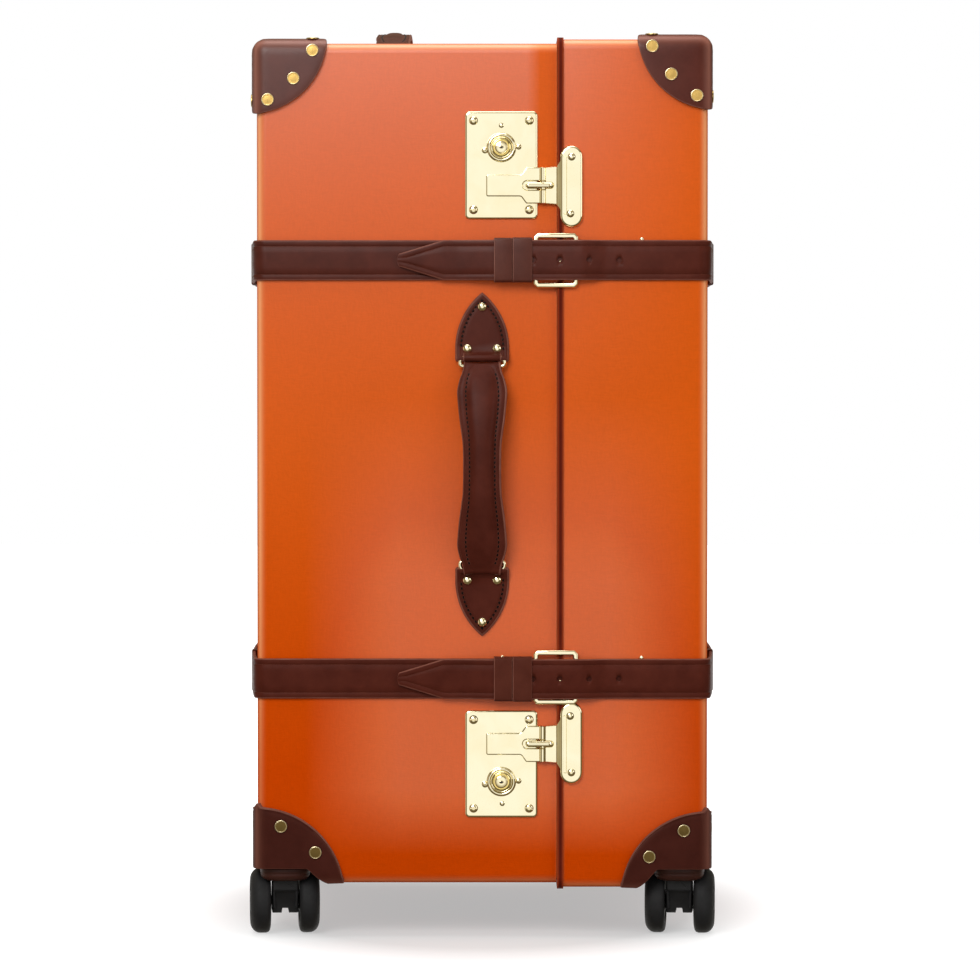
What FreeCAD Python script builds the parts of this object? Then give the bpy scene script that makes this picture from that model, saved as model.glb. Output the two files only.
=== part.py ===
import FreeCAD, Part
import math
import os

from FreeCAD import Vector

# Wardrobe trunk standing upright on four twin castors. Millimetres, +Z up.
# The base is the part left of the joint line, the lid is right of it, the locks face -Y
# and the hinges are at +Y. The origin is on the floor, under the middle of the trunk.

# Case
side_x = 202.5
half_depth = 225.0
base_bottom = 49.0
base_top = 804.0
wall = 4.0
edge_radius = 9.0
joint_x = 67.1
base_edge_x = 66.9
binding_start_x = 67.3
lid_edge_x = 72.9
lid_growth = 3.5
binding_proud = 1.8
binding_clear = 1.0
lip_start_x = 45.0
lip_end_x = 79.0
lip_thickness = 6.0
lining = 2.0
lining_gap = 0.3

# Corner caps
cap_thickness = 4.5
top_cap_radius = 69.5
top_cap_shift = 6.0
bottom_cap_radius = 78.5
bottom_cap_drop = 9.5
rivet_radius = 5.85
rivet_height = 1.4
rivet_chamfer = 0.5
top_rivets = [(50.5, 7.0), (33.5, 32.0), (10.5, 51.0)]
bottom_rivets = [(21.5, 52.0), (52.5, 28.5)]

# Castors
castor_x = 179.0
castor_y = 197.0
recess_top = 62.5
recess_radius = 37.0
recess_slope = 0.95
recess_flat = 45.5
recess_run = 23.0
housing_wall = 3.0
trail = 9.0
wheel_radius = 29.5
wheel_inner = 12.9
wheel_outer = 31.5
axle_radius = 3.0
stem_radius = 5.0
running = 0.05
fork_cheek = 11.8
fork_outline = [(-11.5, 60.0), (-11.5, 32.0), (-7.0, 20.5), (17.0, 20.5), (21.0, 29.5), (17.0, 46.0), (11.5, 60.0)]
fork_notch_half = 2.6
fork_notch_top = 24.0
neck_radius = 12.2
neck_start = 46.0
hood_profile = [(12.3, 62.0), (23.0, 62.0), (23.0, 56.0), (21.5, 52.5), (18.0, 50.0), (12.3, 49.0)]
cup_radius = 12.0
cup_height = 15.0
castor_yaw = {"front_left": 5.0, "front_right": -5.0, "back_left": -28.0, "back_right": 34.0}

# Hinges at the back
hinge_y = 232.0
knuckle_radius = 4.0
hinge_length = 60.0
hinge_leaf = 1.6
hinge_reach = 31.0
hinge_pin_radius = 1.5
hinge_pin_head = (2.6, 1.6)
hinge_centres = [706.0, 421.5, 137.0]
hinge_screw_x = 20.0
hinge_screw_z = 19.0
hinge_screw = (3.4, 1.3)

# Locks, hasps and catches
lock_x = 17.2
lock_half_width = 32.6
lock_half_height = 48.2
lock_corner = 4.0
plate_thickness = 2.2
screw_radius = 4.0
screw_height = 1.7
screw_inset_x = 7.6
screw_inset_z = 8.3
case_half_width = 26.0
case_half_height = 38.0
case_back_y = -212.0
case_wall = 1.7
collar_radius = 12.5
collar_height = 3.0
collar_bore = 9.4
ear_reach = 13.6
ear_radius = 3.4
ear_height = 2.0
ear_turns = (8.0, 196.0)
knob_radius = 9.2
knob_height = 4.2
plug_radius = 5.0
plug_height = 5.4
keyhole_half = (2.6, 0.7)
shank_radius = 4.0
cam_y = (-217.0, -214.5)
cam_reach = 7.0
bolt_half = 7.0
bolt_y = (-222.5, -218.0)
key_offset = 15.8
hasp_offset = -18.2
lock_centres = {"upper": (694.5, 1.0), "lower": (157.0, -1.0)}
barrel_x = 54.3
barrel_y = -228.5
barrel_radius = 2.9
barrel_pin = 1.2
hasp_thickness = 1.8
hasp_tip_x = 3.2
hasp_neck_x = 35.0
hasp_flare_x = 39.5
hasp_half_neck = 10.5
hasp_half_flare = 16.2
slot_half = 3.7
slot_start_x = 37.0
finger_half = 3.1
finger_tip_x = 37.9
catch_x0 = 72.0
catch_x1 = 90.0
catch_half = 36.0
step_x = 63.8
catch_thickness = 3.8
catch_rivet_z = 25.4
bracket_half = 26.0
catch_rivet_radius = 3.5
catch_rivet_height = 1.4

# Straps
strap_levels = {"upper": 609.4, "lower": 234.0}
strap_half = 18.0
strap_thickness = 3.0
strap_gap = 0.3
strap_bulge = 10.0
loop_y = 115.0
loop_half = 10.0
loop_thickness = 1.8
loop_clear = 0.6
billet_nose = 6.0
billet_tip_x = -74.3
billet_shoulder_x = -33.0
billet_low_x = -20.0
billet_high_x = 20.0
billet_over = 9.6
billet_rise_x = 92.0
billet_pivot_x = 104.0
doubled_start_x = 6.0
doubled_end_x = 44.0
frame_x0 = 46.3
frame_x1 = 86.0
frame_half = 23.5
frame_levels = {"upper": 609.4, "lower": 235.5}
frame_bar = 3.0
frame_cut = 5.0
tongue_half = 1.6
tongue_tip = 70.6
frame_inner_y = -230.8
frame_outer_y = -233.2
hole_radius = 2.5
hole_places = [45.7, 69.5, 95.9, 122.7]
keeper_edges = [10.4, 27.5, 44.8]
keeper_wall = 1.5
keeper_clear = 0.3
keeper_gap = 0.15
keeper_split_y = -234.2

# Handles
ring_reach = 8.0
ring_wire = 1.9
ring_half = 20.0
bar_stand = 7.0
grip_half = 91.5
eye_radius = 3.6
roll_radius = 3.6
roll_half = 15.5
chape_half = 24.2
chape_length = 62.3
chape_shoulder = 12.0
chape_bend = (18.3, 39.0)
chape_thickness = 3.0
stud_radius = 4.2
stud_height = 2.6
stud_side = 13.5
stud_near = 11.8
stud_far = 49.5
front_handle = (0.0, 423.0)
top_handle = (-82.9, -4.0)

# Inside
rail_z = 762.0
rail_radius = 8.0
rail_bracket_x = 22.0
rail_wall = 1.5
flange_radius = 18.0
flange_thickness = 4.0
socket_length = 10.0
hanger_half = 5.0
hanger_wide = 9.0
foot_half = 28.0
foot_thickness = 3.0
eye_wall = 3.5
pocket_depth = 12.0
pocket_half = 190.0
pocket_z = (110.0, 430.0)

os.makedirs("parts", exist_ok=True)


def block(x0, x1, y0, y1, z0, z1):
    return Part.makeBox(x1 - x0, y1 - y0, z1 - z0, Vector(x0, y0, z0))


def rod(start, end, radius):
    along = end.sub(start)
    return Part.makeCylinder(radius, along.Length, start, along)


def merge(shapes):
    whole = shapes[0]
    if len(shapes) > 1:
        whole = shapes[0].multiFuse(shapes[1:])
    return whole.removeSplitter()


def slab(points, low, high, plane):
    """Extrude a closed outline, given in the XY, XZ or YZ plane, from low to high."""
    place = {
        "xy": lambda a, b: Vector(a, b, low),
        "xz": lambda a, b: Vector(a, low, b),
        "yz": lambda a, b: Vector(low, a, b),
    }[plane]
    along = {"xy": Vector(0, 0, 1), "xz": Vector(0, 1, 0), "yz": Vector(1, 0, 0)}[plane]
    ring = [place(a, b) for a, b in points]
    face = Part.Face(Part.makePolygon(ring + ring[:1]))
    return face.extrude(along * (high - low))


def spline(points):
    curve = Part.BSplineCurve()
    curve.interpolate(points)
    return curve.toShape()


def arc(a, b, c):
    return Part.Arc(a, b, c).toShape()


def line(a, b):
    return Part.LineSegment(a, b).toShape()


def revolve(points, origin, axis):
    """Turn a closed outline of vectors a full turn about an axis."""
    face = Part.Face(Part.makePolygon(points + points[:1]))
    return face.revolve(origin, axis, 360)


def dome(base, axis, radius, height):
    """Round head of a rivet, stud or screw: a cap of a ball on a flat face."""
    ball = (radius * radius + height * height) / (2 * height)
    low = math.degrees(math.asin((ball - height) / ball))
    centre = base.sub(axis * (ball - height))
    return Part.makeSphere(ball, centre, axis, low, 90, 360)


def rivet_head(base, axis):
    """Flat round head with a chamfered rim."""
    side_height = rivet_height - rivet_chamfer
    side = Part.makeCylinder(rivet_radius, side_height, base, axis)
    rim = Part.makeCone(rivet_radius, rivet_radius - rivet_chamfer, rivet_chamfer, base + axis * side_height, axis)
    return side.fuse(rim).Solids[0]


def fillet(shape, radius, wanted):
    return shape.makeFillet(radius, [edge for edge in shape.Edges if wanted(edge)])


def export(name, shapes):
    group = shapes[0] if len(shapes) == 1 else Part.makeCompound(shapes)
    group.exportStep("parts/" + name + ".step")


# The case: two trays that meet at the joint line

def tray_solid(open_x, closed_x, half_y, z0, z1, radius):
    """A block with round edges everywhere but round its open end."""
    solid = block(min(open_x, closed_x), max(open_x, closed_x), -half_y, half_y, z0, z1)
    return fillet(solid, radius, lambda e: any(abs(v.X - open_x) > 0.1 for v in e.Vertexes))


base_case = {"side": -1, "open": base_edge_x, "half": half_depth, "z0": base_bottom, "z1": base_top}
lid_case = {
    "side": 1,
    "open": lid_edge_x,
    "half": half_depth + lid_growth,
    "z0": base_bottom - lid_growth,
    "z1": base_top + lid_growth,
}


def grown_case(case, grow, open_x):
    """The outer form of a tray, grown by grow on every closed face."""
    closed = case["side"] * (side_x + grow)
    radius = max(edge_radius + grow, 2.0)
    return tray_solid(open_x, closed, case["half"] + grow, case["z0"] - grow, case["z1"] + grow, radius)


def recess(case, front, grow):
    """The dished hollow under one bottom corner, in which a castor turns."""
    side = case["side"]
    floor = 38.0
    height = recess_top + grow - floor
    top_radius = recess_radius + grow
    low_radius = top_radius + recess_slope * height
    centre = Vector(side * castor_x, front * castor_y, floor)
    bowl = Part.makeCone(low_radius, top_radius, height, centre, Vector(0, 0, 1))
    shapes = [bowl]
    for plane, face in (("xz", case["half"]), ("yz", side_x)):
        sign = side if plane == "xz" else front
        edge = side_x if plane == "xz" else case["half"]
        flat = edge - recess_flat - grow
        foot = flat - recess_run * height / (recess_top - base_bottom + lid_growth)
        outline = [(sign * (edge + 20), floor), (sign * (edge + 20), recess_top + grow)]
        outline += [(sign * flat, recess_top + grow), (sign * foot, floor)]
        outward = front if plane == "xz" else side
        span = sorted((outward * (face - 10 - grow), outward * (face + 20)))
        shapes.append(slab(outline, span[0], span[1], plane))
    return merge(shapes)


def hollow(case, depth, open_x, radius):
    """The space inside a tray, depth in from its outer faces."""
    closed = case["side"] * (side_x - depth)
    return tray_solid(open_x, closed, case["half"] - depth, case["z0"] + depth, case["z1"] - depth, radius)


def lock_levels():
    for name in ("upper", "lower"):
        centre, up = lock_centres[name]
        yield name, centre, up


base_outer = grown_case(base_case, 0, base_edge_x)
lid_outer = grown_case(lid_case, 0, lid_edge_x)
base_shell = base_outer.cut(hollow(base_case, wall, base_edge_x + 1, edge_radius - wall))
lid_shell = lid_outer.cut(hollow(lid_case, wall, lid_edge_x - 1, edge_radius - wall))
fronts = (-1, 1)
for front in fronts:
    base_shell = base_shell.cut(recess(base_case, front, housing_wall + 0.2))
    lid_shell = lid_shell.cut(recess(lid_case, front, housing_wall + 0.2))

for name, level, up in lock_levels():
    hole = block(lock_x - case_half_width, lock_x + case_half_width, -240, case_back_y - 1,
                 level - case_half_height, level + case_half_height)
    base_shell = base_shell.cut(hole)

export("base_shell", [base_shell])
export("lid_shell", [lid_shell])

# Wooden lip inside the base's opening, which guides the lid home
lip_outer = block(lip_start_x, lip_end_x, -half_depth + wall + 0.2, half_depth - wall - 0.2,
                  base_bottom + wall + 0.2, base_top - wall - 0.2)
lip_inner = block(lip_start_x - 1, lip_end_x + 1, -half_depth + wall + lip_thickness,
                  half_depth - wall - lip_thickness, base_bottom + wall + lip_thickness,
                  base_top - wall - lip_thickness)
along_x = lambda e: abs(e.Vertexes[0].X - e.Vertexes[-1].X) > 10
base_lip = fillet(lip_outer, 5.0, along_x).cut(fillet(lip_inner, 3.0, along_x))
base_lip = fillet(base_lip, 1.5, lambda e: all(abs(v.X - lip_end_x) < 0.1 for v in e.Vertexes))
export("base_lip", [base_lip])

# Edge binding on the lid's rim, notched where the hinges stand
proud = lid_growth + binding_proud
binding_outer = block(binding_start_x, lid_edge_x, -half_depth - proud, half_depth + proud,
                      base_bottom - proud, base_top + proud)
binding_inner = block(binding_start_x - 1, lid_edge_x + 1, -half_depth + wall - binding_clear,
                      half_depth - wall + binding_clear, base_bottom + wall - binding_clear,
                      base_top - wall + binding_clear)
along_binding = lambda e: abs(e.Vertexes[0].X - e.Vertexes[-1].X) > 4
lid_binding = fillet(binding_outer, edge_radius + 2, along_binding)
lid_binding = lid_binding.cut(fillet(binding_inner, 5.0, along_binding))
for level in hinge_centres:
    notch = block(60, 80, half_depth - 0.5, 240, level - hinge_length / 2 - 1, level + hinge_length / 2 + 1)
    lid_binding = lid_binding.cut(notch)
export("lid_binding", [lid_binding])


# Linings, with room for the castor housings and the lock cases

def make_lining(case, open_x):
    depth = wall + lining_gap
    outer = hollow(case, depth, open_x, edge_radius - wall)
    beyond = open_x - case["side"]
    inner = hollow(case, depth + lining, beyond, 3.0)
    shell = outer.cut(inner)
    for front in fronts:
        shell = shell.cut(recess(case, front, housing_wall + 1.0))
    return shell


base_lining = make_lining(base_case, lip_start_x - 0.3)
for name, level, up in lock_levels():
    room = block(lock_x - case_half_width - 1, lip_start_x, -230, case_back_y + 1,
                 level - case_half_height - 1, level + case_half_height + 1)
    base_lining = base_lining.cut(room)
lid_lining = make_lining(lid_case, lid_edge_x + 0.3)
export("base_lining", [base_lining])
export("lid_lining", [lid_lining])


# Corner caps and their rivets

def cap_region(case, front, top):
    """Three quarter discs, one on each face that meets at the corner."""
    side = case["side"]
    x = side * side_x
    y = front * case["half"]
    if top:
        radius, out, drop = top_cap_radius, top_cap_shift, top_cap_shift
        z = case["z1"]
        up = 1
    else:
        radius, out, drop = bottom_cap_radius, 0.0, bottom_cap_drop
        z = case["z0"]
        up = -1
    inward = edge_radius + 3
    outward = cap_thickness + 2
    on_front = rod(Vector(x + side * out, y - front * inward, z + up * drop),
                   Vector(x + side * out, y + front * outward, z + up * drop), radius)
    on_side = rod(Vector(x - side * inward, y + front * out, z + up * drop),
                  Vector(x + side * outward, y + front * out, z + up * drop), radius)
    on_end = rod(Vector(x + side * out, y + front * out, z - up * inward),
                 Vector(x + side * out, y + front * out, z + up * outward), radius)
    return merge([on_front, on_side, on_end])


def corner_cap(case, front, top):
    region = cap_region(case, front, top)
    grown = grown_case(case, cap_thickness, case["open"])
    inner = grown_case(case, 0, case["open"])
    cap = region.common(grown).cut(inner)
    if not top:
        cap = cap.cut(recess(case, front, 0))
    return cap


def corner_rivets(case, front, top):
    """Rivets on the front or back face and on the side face of one cap, and on the top of a top cap."""
    side = case["side"]
    x = side * (side_x + cap_thickness)
    y = front * (case["half"] + cap_thickness)
    z = case["z1"] if top else case["z0"]
    down = -1 if top else 1
    places = top_rivets if top else bottom_rivets
    heads = []
    for across, fall in places:
        on_front = Vector(side * (side_x - across), y, z + down * fall)
        on_side = Vector(x, front * (case["half"] - across), z + down * fall)
        heads.append(rivet_head(on_front, Vector(0, front, 0)))
        heads.append(rivet_head(on_side, Vector(side, 0, 0)))
        if top:
            on_top = Vector(side * (side_x - across), front * (case["half"] - fall), z + cap_thickness)
            heads.append(rivet_head(on_top, Vector(0, 0, 1)))
    return heads


for label, case in (("base", base_case), ("lid", lid_case)):
    caps = [corner_cap(case, front, top) for front in fronts for top in (True, False)]
    rivets = []
    for front in fronts:
        for top in (True, False):
            rivets += corner_rivets(case, front, top)
    export("corner_caps_" + label, caps)
    export("corner_rivets_" + label, rivets)


# Castor housings, forks and wheels

def castor_housing(case, front):
    """Moulded dish that lines a corner recess and holds the castor's stem."""
    outer = grown_case(case, -0.1, case["open"])
    shell = recess(case, front, housing_wall).cut(recess(case, front, 0)).common(outer)
    x = case["side"] * castor_x
    y = front * castor_y
    cup = rod(Vector(x, y, recess_top), Vector(x, y, recess_top + cup_height), cup_radius)
    bore = rod(Vector(x, y, recess_top - 10), Vector(x, y, recess_top + cup_height - 2.5), stem_radius + running)
    return merge([shell, cup]).cut(bore)


def castor_fork(x, y, yaw):
    """Fork with its stem, and the hood over its leading side, about the swivel axis."""
    body = slab(fork_outline, -fork_cheek, fork_cheek, "yz")
    body = body.cut(block(-fork_notch_half, fork_notch_half, -20, 30, 15, fork_notch_top))
    neck = rod(Vector(0, 0, neck_start), Vector(0, 0, recess_top - 0.5), neck_radius)
    stem = rod(Vector(0, 0, 55), Vector(0, 0, recess_top + cup_height - 3), stem_radius)
    bore = rod(Vector(-20, trail, wheel_radius), Vector(20, trail, wheel_radius), axle_radius + running)
    fork = merge([body, neck, stem]).cut(bore)
    points = [Vector(r, 0, z) for r, z in hood_profile]
    hood = revolve(points, Vector(0, 0, 0), Vector(0, 0, 1))
    room = rod(Vector(-40, trail, wheel_radius), Vector(40, trail, wheel_radius), wheel_radius + 1.2)
    behind = block(-30, 30, -12.3, 30, 40, 61)
    hood = hood.cut(room).cut(behind)
    fork = fork.cut(hood)
    for shape in (fork, hood):
        shape.rotate(Vector(0, 0, 0), Vector(0, 0, 1), yaw)
        shape.translate(Vector(x, y, 0))
    return [fork, hood]


def twin_wheels(x, y, yaw):
    """Two wheels pressed on one axle."""
    wide = wheel_outer - wheel_inner
    profile = [(0, 0), (wheel_radius - 6, 0), (wheel_radius - 1.5, 1.2), (wheel_radius, 4.0)]
    profile += [(wheel_radius, wide * 0.55), (wheel_radius - 1.2, wide * 0.74), (wheel_radius - 4.5, wide * 0.9)]
    profile += [(wheel_radius - 9, wide * 0.97), (wheel_radius - 11, wide * 0.88), (8, wide * 0.88)]
    profile += [(7, wide), (0, wide)]
    centre = Vector(0, trail, wheel_radius)
    wheels = []
    for hand in (-1, 1):
        points = [Vector(hand * (wheel_inner + t), trail, wheel_radius + r) for r, t in profile]
        wheels.append(revolve(points, centre, Vector(1, 0, 0)))
    axle = rod(Vector(-wheel_inner - 1, trail, wheel_radius), Vector(wheel_inner + 1, trail, wheel_radius),
               axle_radius)
    whole = merge(wheels + [axle])
    whole.rotate(Vector(0, 0, 0), Vector(0, 0, 1), yaw)
    whole.translate(Vector(x, y, 0))
    return whole


for label, case in (("base", base_case), ("lid", lid_case)):
    export("castor_housings_" + label, [castor_housing(case, front) for front in fronts])
corners = {
    "front_left": (-castor_x, -castor_y),
    "front_right": (castor_x, -castor_y),
    "back_left": (-castor_x, castor_y),
    "back_right": (castor_x, castor_y),
}
for name, (x, y) in corners.items():
    export("castor_fork_" + name, castor_fork(x, y, castor_yaw[name]))
    export("castor_wheels_" + name, [twin_wheels(x, y, castor_yaw[name])])


# Hinges

def hinge_leaf_solid(level, side, spans):
    """One leaf with its knuckles; side is -1 for the base and 1 for the lid."""
    growth = 0.0 if side < 0 else lid_growth
    face = half_depth + growth
    near = joint_x + side * 0.3
    far = near + side * hinge_reach
    z0 = level - hinge_length / 2
    x0, x1 = sorted((near, far))
    leaf = block(x0, x1, face, face + hinge_leaf, z0, z0 + hinge_length)
    bore = rod(Vector(joint_x, hinge_y, z0 - 1), Vector(joint_x, hinge_y, z0 + hinge_length + 1),
               hinge_pin_radius + running)
    shapes = [leaf]
    for low, high in spans:
        start = Vector(joint_x, hinge_y, z0 + low)
        shapes.append(rod(start, Vector(joint_x, hinge_y, z0 + high), knuckle_radius))
        web = [(near, face), (near, hinge_y), (joint_x + side * knuckle_radius, hinge_y)]
        web.append((near + side * 6, face))
        shapes.append(slab(web, z0 + low, z0 + high, "xy"))
    solid = merge(shapes).cut(bore)
    for low, high in ((0, spans[0][0]), (spans[0][1], spans[-1][0]), (spans[-1][1], hinge_length)):
        if high - low > 1:
            swing = rod(Vector(joint_x, hinge_y, z0 + low), Vector(joint_x, hinge_y, z0 + high),
                        knuckle_radius + 0.4)
            solid = solid.cut(swing)
    return solid


third = hinge_length / 3
base_spans = [(0, third - 0.2), (2 * third + 0.2, hinge_length)]
lid_spans = [(third + 0.2, 2 * third - 0.2)]
export("hinge_leaves_base", [hinge_leaf_solid(level, -1, base_spans) for level in hinge_centres])
export("hinge_leaves_lid", [hinge_leaf_solid(level, 1, lid_spans) for level in hinge_centres])
pins = []
for level in hinge_centres:
    low = level - hinge_length / 2
    high = level + hinge_length / 2
    shank = rod(Vector(joint_x, hinge_y, low), Vector(joint_x, hinge_y, high), hinge_pin_radius)
    heads = [dome(Vector(joint_x, hinge_y, high), Vector(0, 0, 1), *hinge_pin_head),
             dome(Vector(joint_x, hinge_y, low), Vector(0, 0, -1), *hinge_pin_head)]
    pins.append(merge([shank] + heads))
export("hinge_pins", pins)


# Locks

def lock_plate(level, up):
    plate = block(lock_x - lock_half_width, lock_x + lock_half_width, -half_depth - plate_thickness, -half_depth,
                  level - lock_half_height, level + lock_half_height)
    across = lambda e: abs(e.Vertexes[0].Y - e.Vertexes[-1].Y) > 1
    plate = fillet(plate, lock_corner, across)
    outer = -half_depth - plate_thickness
    plate = fillet(plate, 0.8, lambda e: all(abs(v.Y - outer) < 0.01 for v in e.Vertexes))
    key_z = level + up * key_offset
    bore = rod(Vector(lock_x, -240, key_z), Vector(lock_x, -220, key_z), shank_radius + running)
    return plate.cut(bore)


def lock_case_solid(level, up):
    """Steel box behind the plate, open towards it, with room for the bolt and the key's cam."""
    half_wide = case_half_width - 0.3
    half_high = case_half_height - 0.3
    box = block(lock_x - half_wide, lock_x + half_wide, -half_depth, case_back_y, level - half_high,
                level + half_high)
    room = block(lock_x - half_wide + case_wall, lock_x + half_wide - case_wall, -half_depth - 1,
                 case_back_y - case_wall, level - half_high + case_wall, level + half_high - case_wall)
    return box.cut(room)


def lock_collar(level, up):
    face = -half_depth - plate_thickness
    key_z = level + up * key_offset
    centre = Vector(lock_x, face, key_z)
    ring = rod(centre, Vector(lock_x, face - collar_height, key_z), collar_radius)
    shapes = [ring]
    for turn in ear_turns:
        angle = math.radians(turn)
        ear = Vector(lock_x + ear_reach * math.cos(angle), face, key_z + ear_reach * math.sin(angle))
        shapes.append(rod(ear, ear.add(Vector(0, -ear_height, 0)), ear_radius))
    inner = rod(Vector(lock_x, face + 1, key_z), Vector(lock_x, face - 5, key_z), collar_bore)
    collar = merge(shapes).cut(inner)
    rim = lambda e: all(abs(v.Y - face + collar_height) < 0.01 for v in e.Vertexes)
    return fillet(collar, 0.7, rim)


def key_cylinder(level, up):
    """Turning knob with its keyhole, the shank behind it and the cam that drives the bolt."""
    face = -half_depth - plate_thickness
    key_z = level + up * key_offset
    knob = rod(Vector(lock_x, face - 0.2, key_z), Vector(lock_x, face - knob_height, key_z), knob_radius)
    knob = fillet(knob, 1.4, lambda e: all(abs(v.Y - face + knob_height) < 0.01 for v in e.Vertexes))
    plug = rod(Vector(lock_x, face - knob_height + 0.6, key_z), Vector(lock_x, face - plug_height, key_z),
               plug_radius)
    shank = rod(Vector(lock_x, face - 1, key_z), Vector(lock_x, cam_y[1], key_z), shank_radius)
    cam = block(lock_x - 2.2, lock_x + 2.2, cam_y[0], cam_y[1], key_z - cam_reach, key_z + 2)
    slot = block(lock_x - keyhole_half[0], lock_x + keyhole_half[0], face - 7, face - 2.4,
                 key_z - keyhole_half[1], key_z + keyhole_half[1])
    return merge([knob, plug, shank, cam]).cut(slot)


def lock_bolt(level, up):
    """Sliding bolt behind the plate; it moves towards the hasp when the key is turned."""
    low, high = sorted((level + up * (key_offset - 9), level + up * (hasp_offset + 4)))
    bar = block(lock_x - bolt_half, lock_x + bolt_half, bolt_y[0], bolt_y[1], low, high)
    return fillet(bar, 0.8, lambda e: True)


export("lock_plates", [lock_plate(level, up) for name, level, up in lock_levels()])
export("lock_cases", [lock_case_solid(level, up) for name, level, up in lock_levels()])
export("lock_collars", [lock_collar(level, up) for name, level, up in lock_levels()])
for name, level, up in lock_levels():
    export("key_cylinder_" + name, [key_cylinder(level, up)])
    export("lock_bolt_" + name, [lock_bolt(level, up)])


def hasp(level, up):
    """Hinged flap: a narrow tongue, a wide root with a slot, and two knuckles on the barrel."""
    z = level + up * hasp_offset
    outer = barrel_y - hasp_thickness / 2
    inner = barrel_y + hasp_thickness / 2
    outline = [(hasp_tip_x, -hasp_half_neck), (hasp_neck_x, -hasp_half_neck), (hasp_flare_x, -hasp_half_flare)]
    outline += [(barrel_x, -hasp_half_flare), (barrel_x, hasp_half_flare), (hasp_flare_x, hasp_half_flare)]
    outline += [(hasp_neck_x, hasp_half_neck), (hasp_tip_x, hasp_half_neck)]
    flap = slab([(x, z + h) for x, h in outline], outer, inner, "xz")
    shapes = [flap]
    for low, high in ((slot_half, hasp_half_flare), (-hasp_half_flare, -slot_half)):
        shapes.append(rod(Vector(barrel_x, barrel_y, z + low), Vector(barrel_x, barrel_y, z + high),
                          barrel_radius))
    solid = merge(shapes)
    slot = block(slot_start_x + slot_half, barrel_x + 5, -240, -220, z - slot_half, z + slot_half)
    slot_end = rod(Vector(slot_start_x + slot_half, -240, z), Vector(slot_start_x + slot_half, -220, z), slot_half)
    bore = rod(Vector(barrel_x, barrel_y, z - 20), Vector(barrel_x, barrel_y, z + 20), barrel_pin + running)
    return solid.cut(merge([slot, slot_end])).cut(bore)


def catch_plate(level, up):
    """Oval plate on the lid with the bracket, finger and hinge pin that carry the hasp."""
    z = level + up * hasp_offset
    face = -half_depth - lid_growth
    outer = face - catch_thickness
    half_width = (catch_x1 - catch_x0) / 2
    middle = catch_x0 + half_width
    straight = catch_half - half_width
    oval = block(catch_x0, catch_x1, outer, face, z - straight, z + straight)
    ends = [rod(Vector(middle, outer, z + end), Vector(middle, face, z + end), half_width)
            for end in (-straight, straight)]
    oval = merge([oval] + ends)
    oval = fillet(oval, 1.2, lambda e: all(abs(v.Y - outer) < 0.01 for v in e.Vertexes))
    low = barrel_y - hasp_thickness / 2
    high = barrel_y + hasp_thickness / 2
    over = -half_depth - proud - 0.2
    step = [(barrel_x + 3.3, low), (step_x, low), (step_x + 5.5, outer), (catch_x0 + 4, outer)]
    step += [(catch_x0 + 4, over), (binding_start_x - 0.2, over), (step_x - 1.8, high), (barrel_x + 3.3, high)]
    bracket = slab(step, z - bracket_half, z + bracket_half, "xy")
    below = [(barrel_x, -hasp_half_flare), (step_x + 1, -hasp_half_flare), (catch_x0, -bracket_half)]
    below.append((catch_x1, -bracket_half))
    wing = below + [(x, -h) for x, h in reversed(below)]
    bracket = bracket.common(slab([(x, z + h) for x, h in wing], -245, -220, "xz"))
    knuckle = rod(Vector(barrel_x, barrel_y, z - slot_half + 0.3), Vector(barrel_x, barrel_y, z + slot_half - 0.3),
                  barrel_radius)
    web = block(barrel_x, barrel_x + 5, low, high, z - finger_half, z + finger_half)
    top = barrel_y - barrel_radius - 0.3
    finger = block(finger_tip_x + finger_half, 64.0, top, barrel_y - 0.5, z - finger_half, z + finger_half)
    tip = rod(Vector(finger_tip_x + finger_half, top, z), Vector(finger_tip_x + finger_half, barrel_y - 0.5, z),
              finger_half)
    pin = rod(Vector(barrel_x, barrel_y, z - hasp_half_flare), Vector(barrel_x, barrel_y, z + hasp_half_flare),
              barrel_pin)
    return merge([oval, bracket, knuckle, web, finger, tip, pin]).cut(lid_binding)


for name, level, up in lock_levels():
    export("hasp_" + name, [hasp(level, up)])
export("catch_plates", [catch_plate(level, up) for name, level, up in lock_levels()])

base_screws = []
lid_screws = []
for name, level, up in lock_levels():
    for across in (-1, 1):
        for rise in (-1, 1):
            place = Vector(lock_x + across * (lock_half_width - screw_inset_x), -half_depth - plate_thickness,
                           level + rise * (lock_half_height - screw_inset_z))
            base_screws.append(dome(place, Vector(0, -1, 0), screw_radius, screw_height))
    for rise in (-1, 1):
        place = Vector((catch_x0 + catch_x1) / 2 - 0.6, -half_depth - lid_growth - catch_thickness,
                       level + up * hasp_offset + rise * catch_rivet_z)
        lid_screws.append(dome(place, Vector(0, -1, 0), catch_rivet_radius, catch_rivet_height))
for level in hinge_centres:
    for rise in (-hinge_screw_z, hinge_screw_z):
        base_place = Vector(joint_x - hinge_screw_x, half_depth + hinge_leaf, level + rise)
        lid_place = Vector(joint_x + hinge_screw_x, half_depth + lid_growth + hinge_leaf, level + rise)
        base_screws.append(dome(base_place, Vector(0, 1, 0), *hinge_screw))
        lid_screws.append(dome(lid_place, Vector(0, 1, 0), *hinge_screw))
export("base_screws", base_screws)
export("lid_screws", lid_screws)


# Straps

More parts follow.
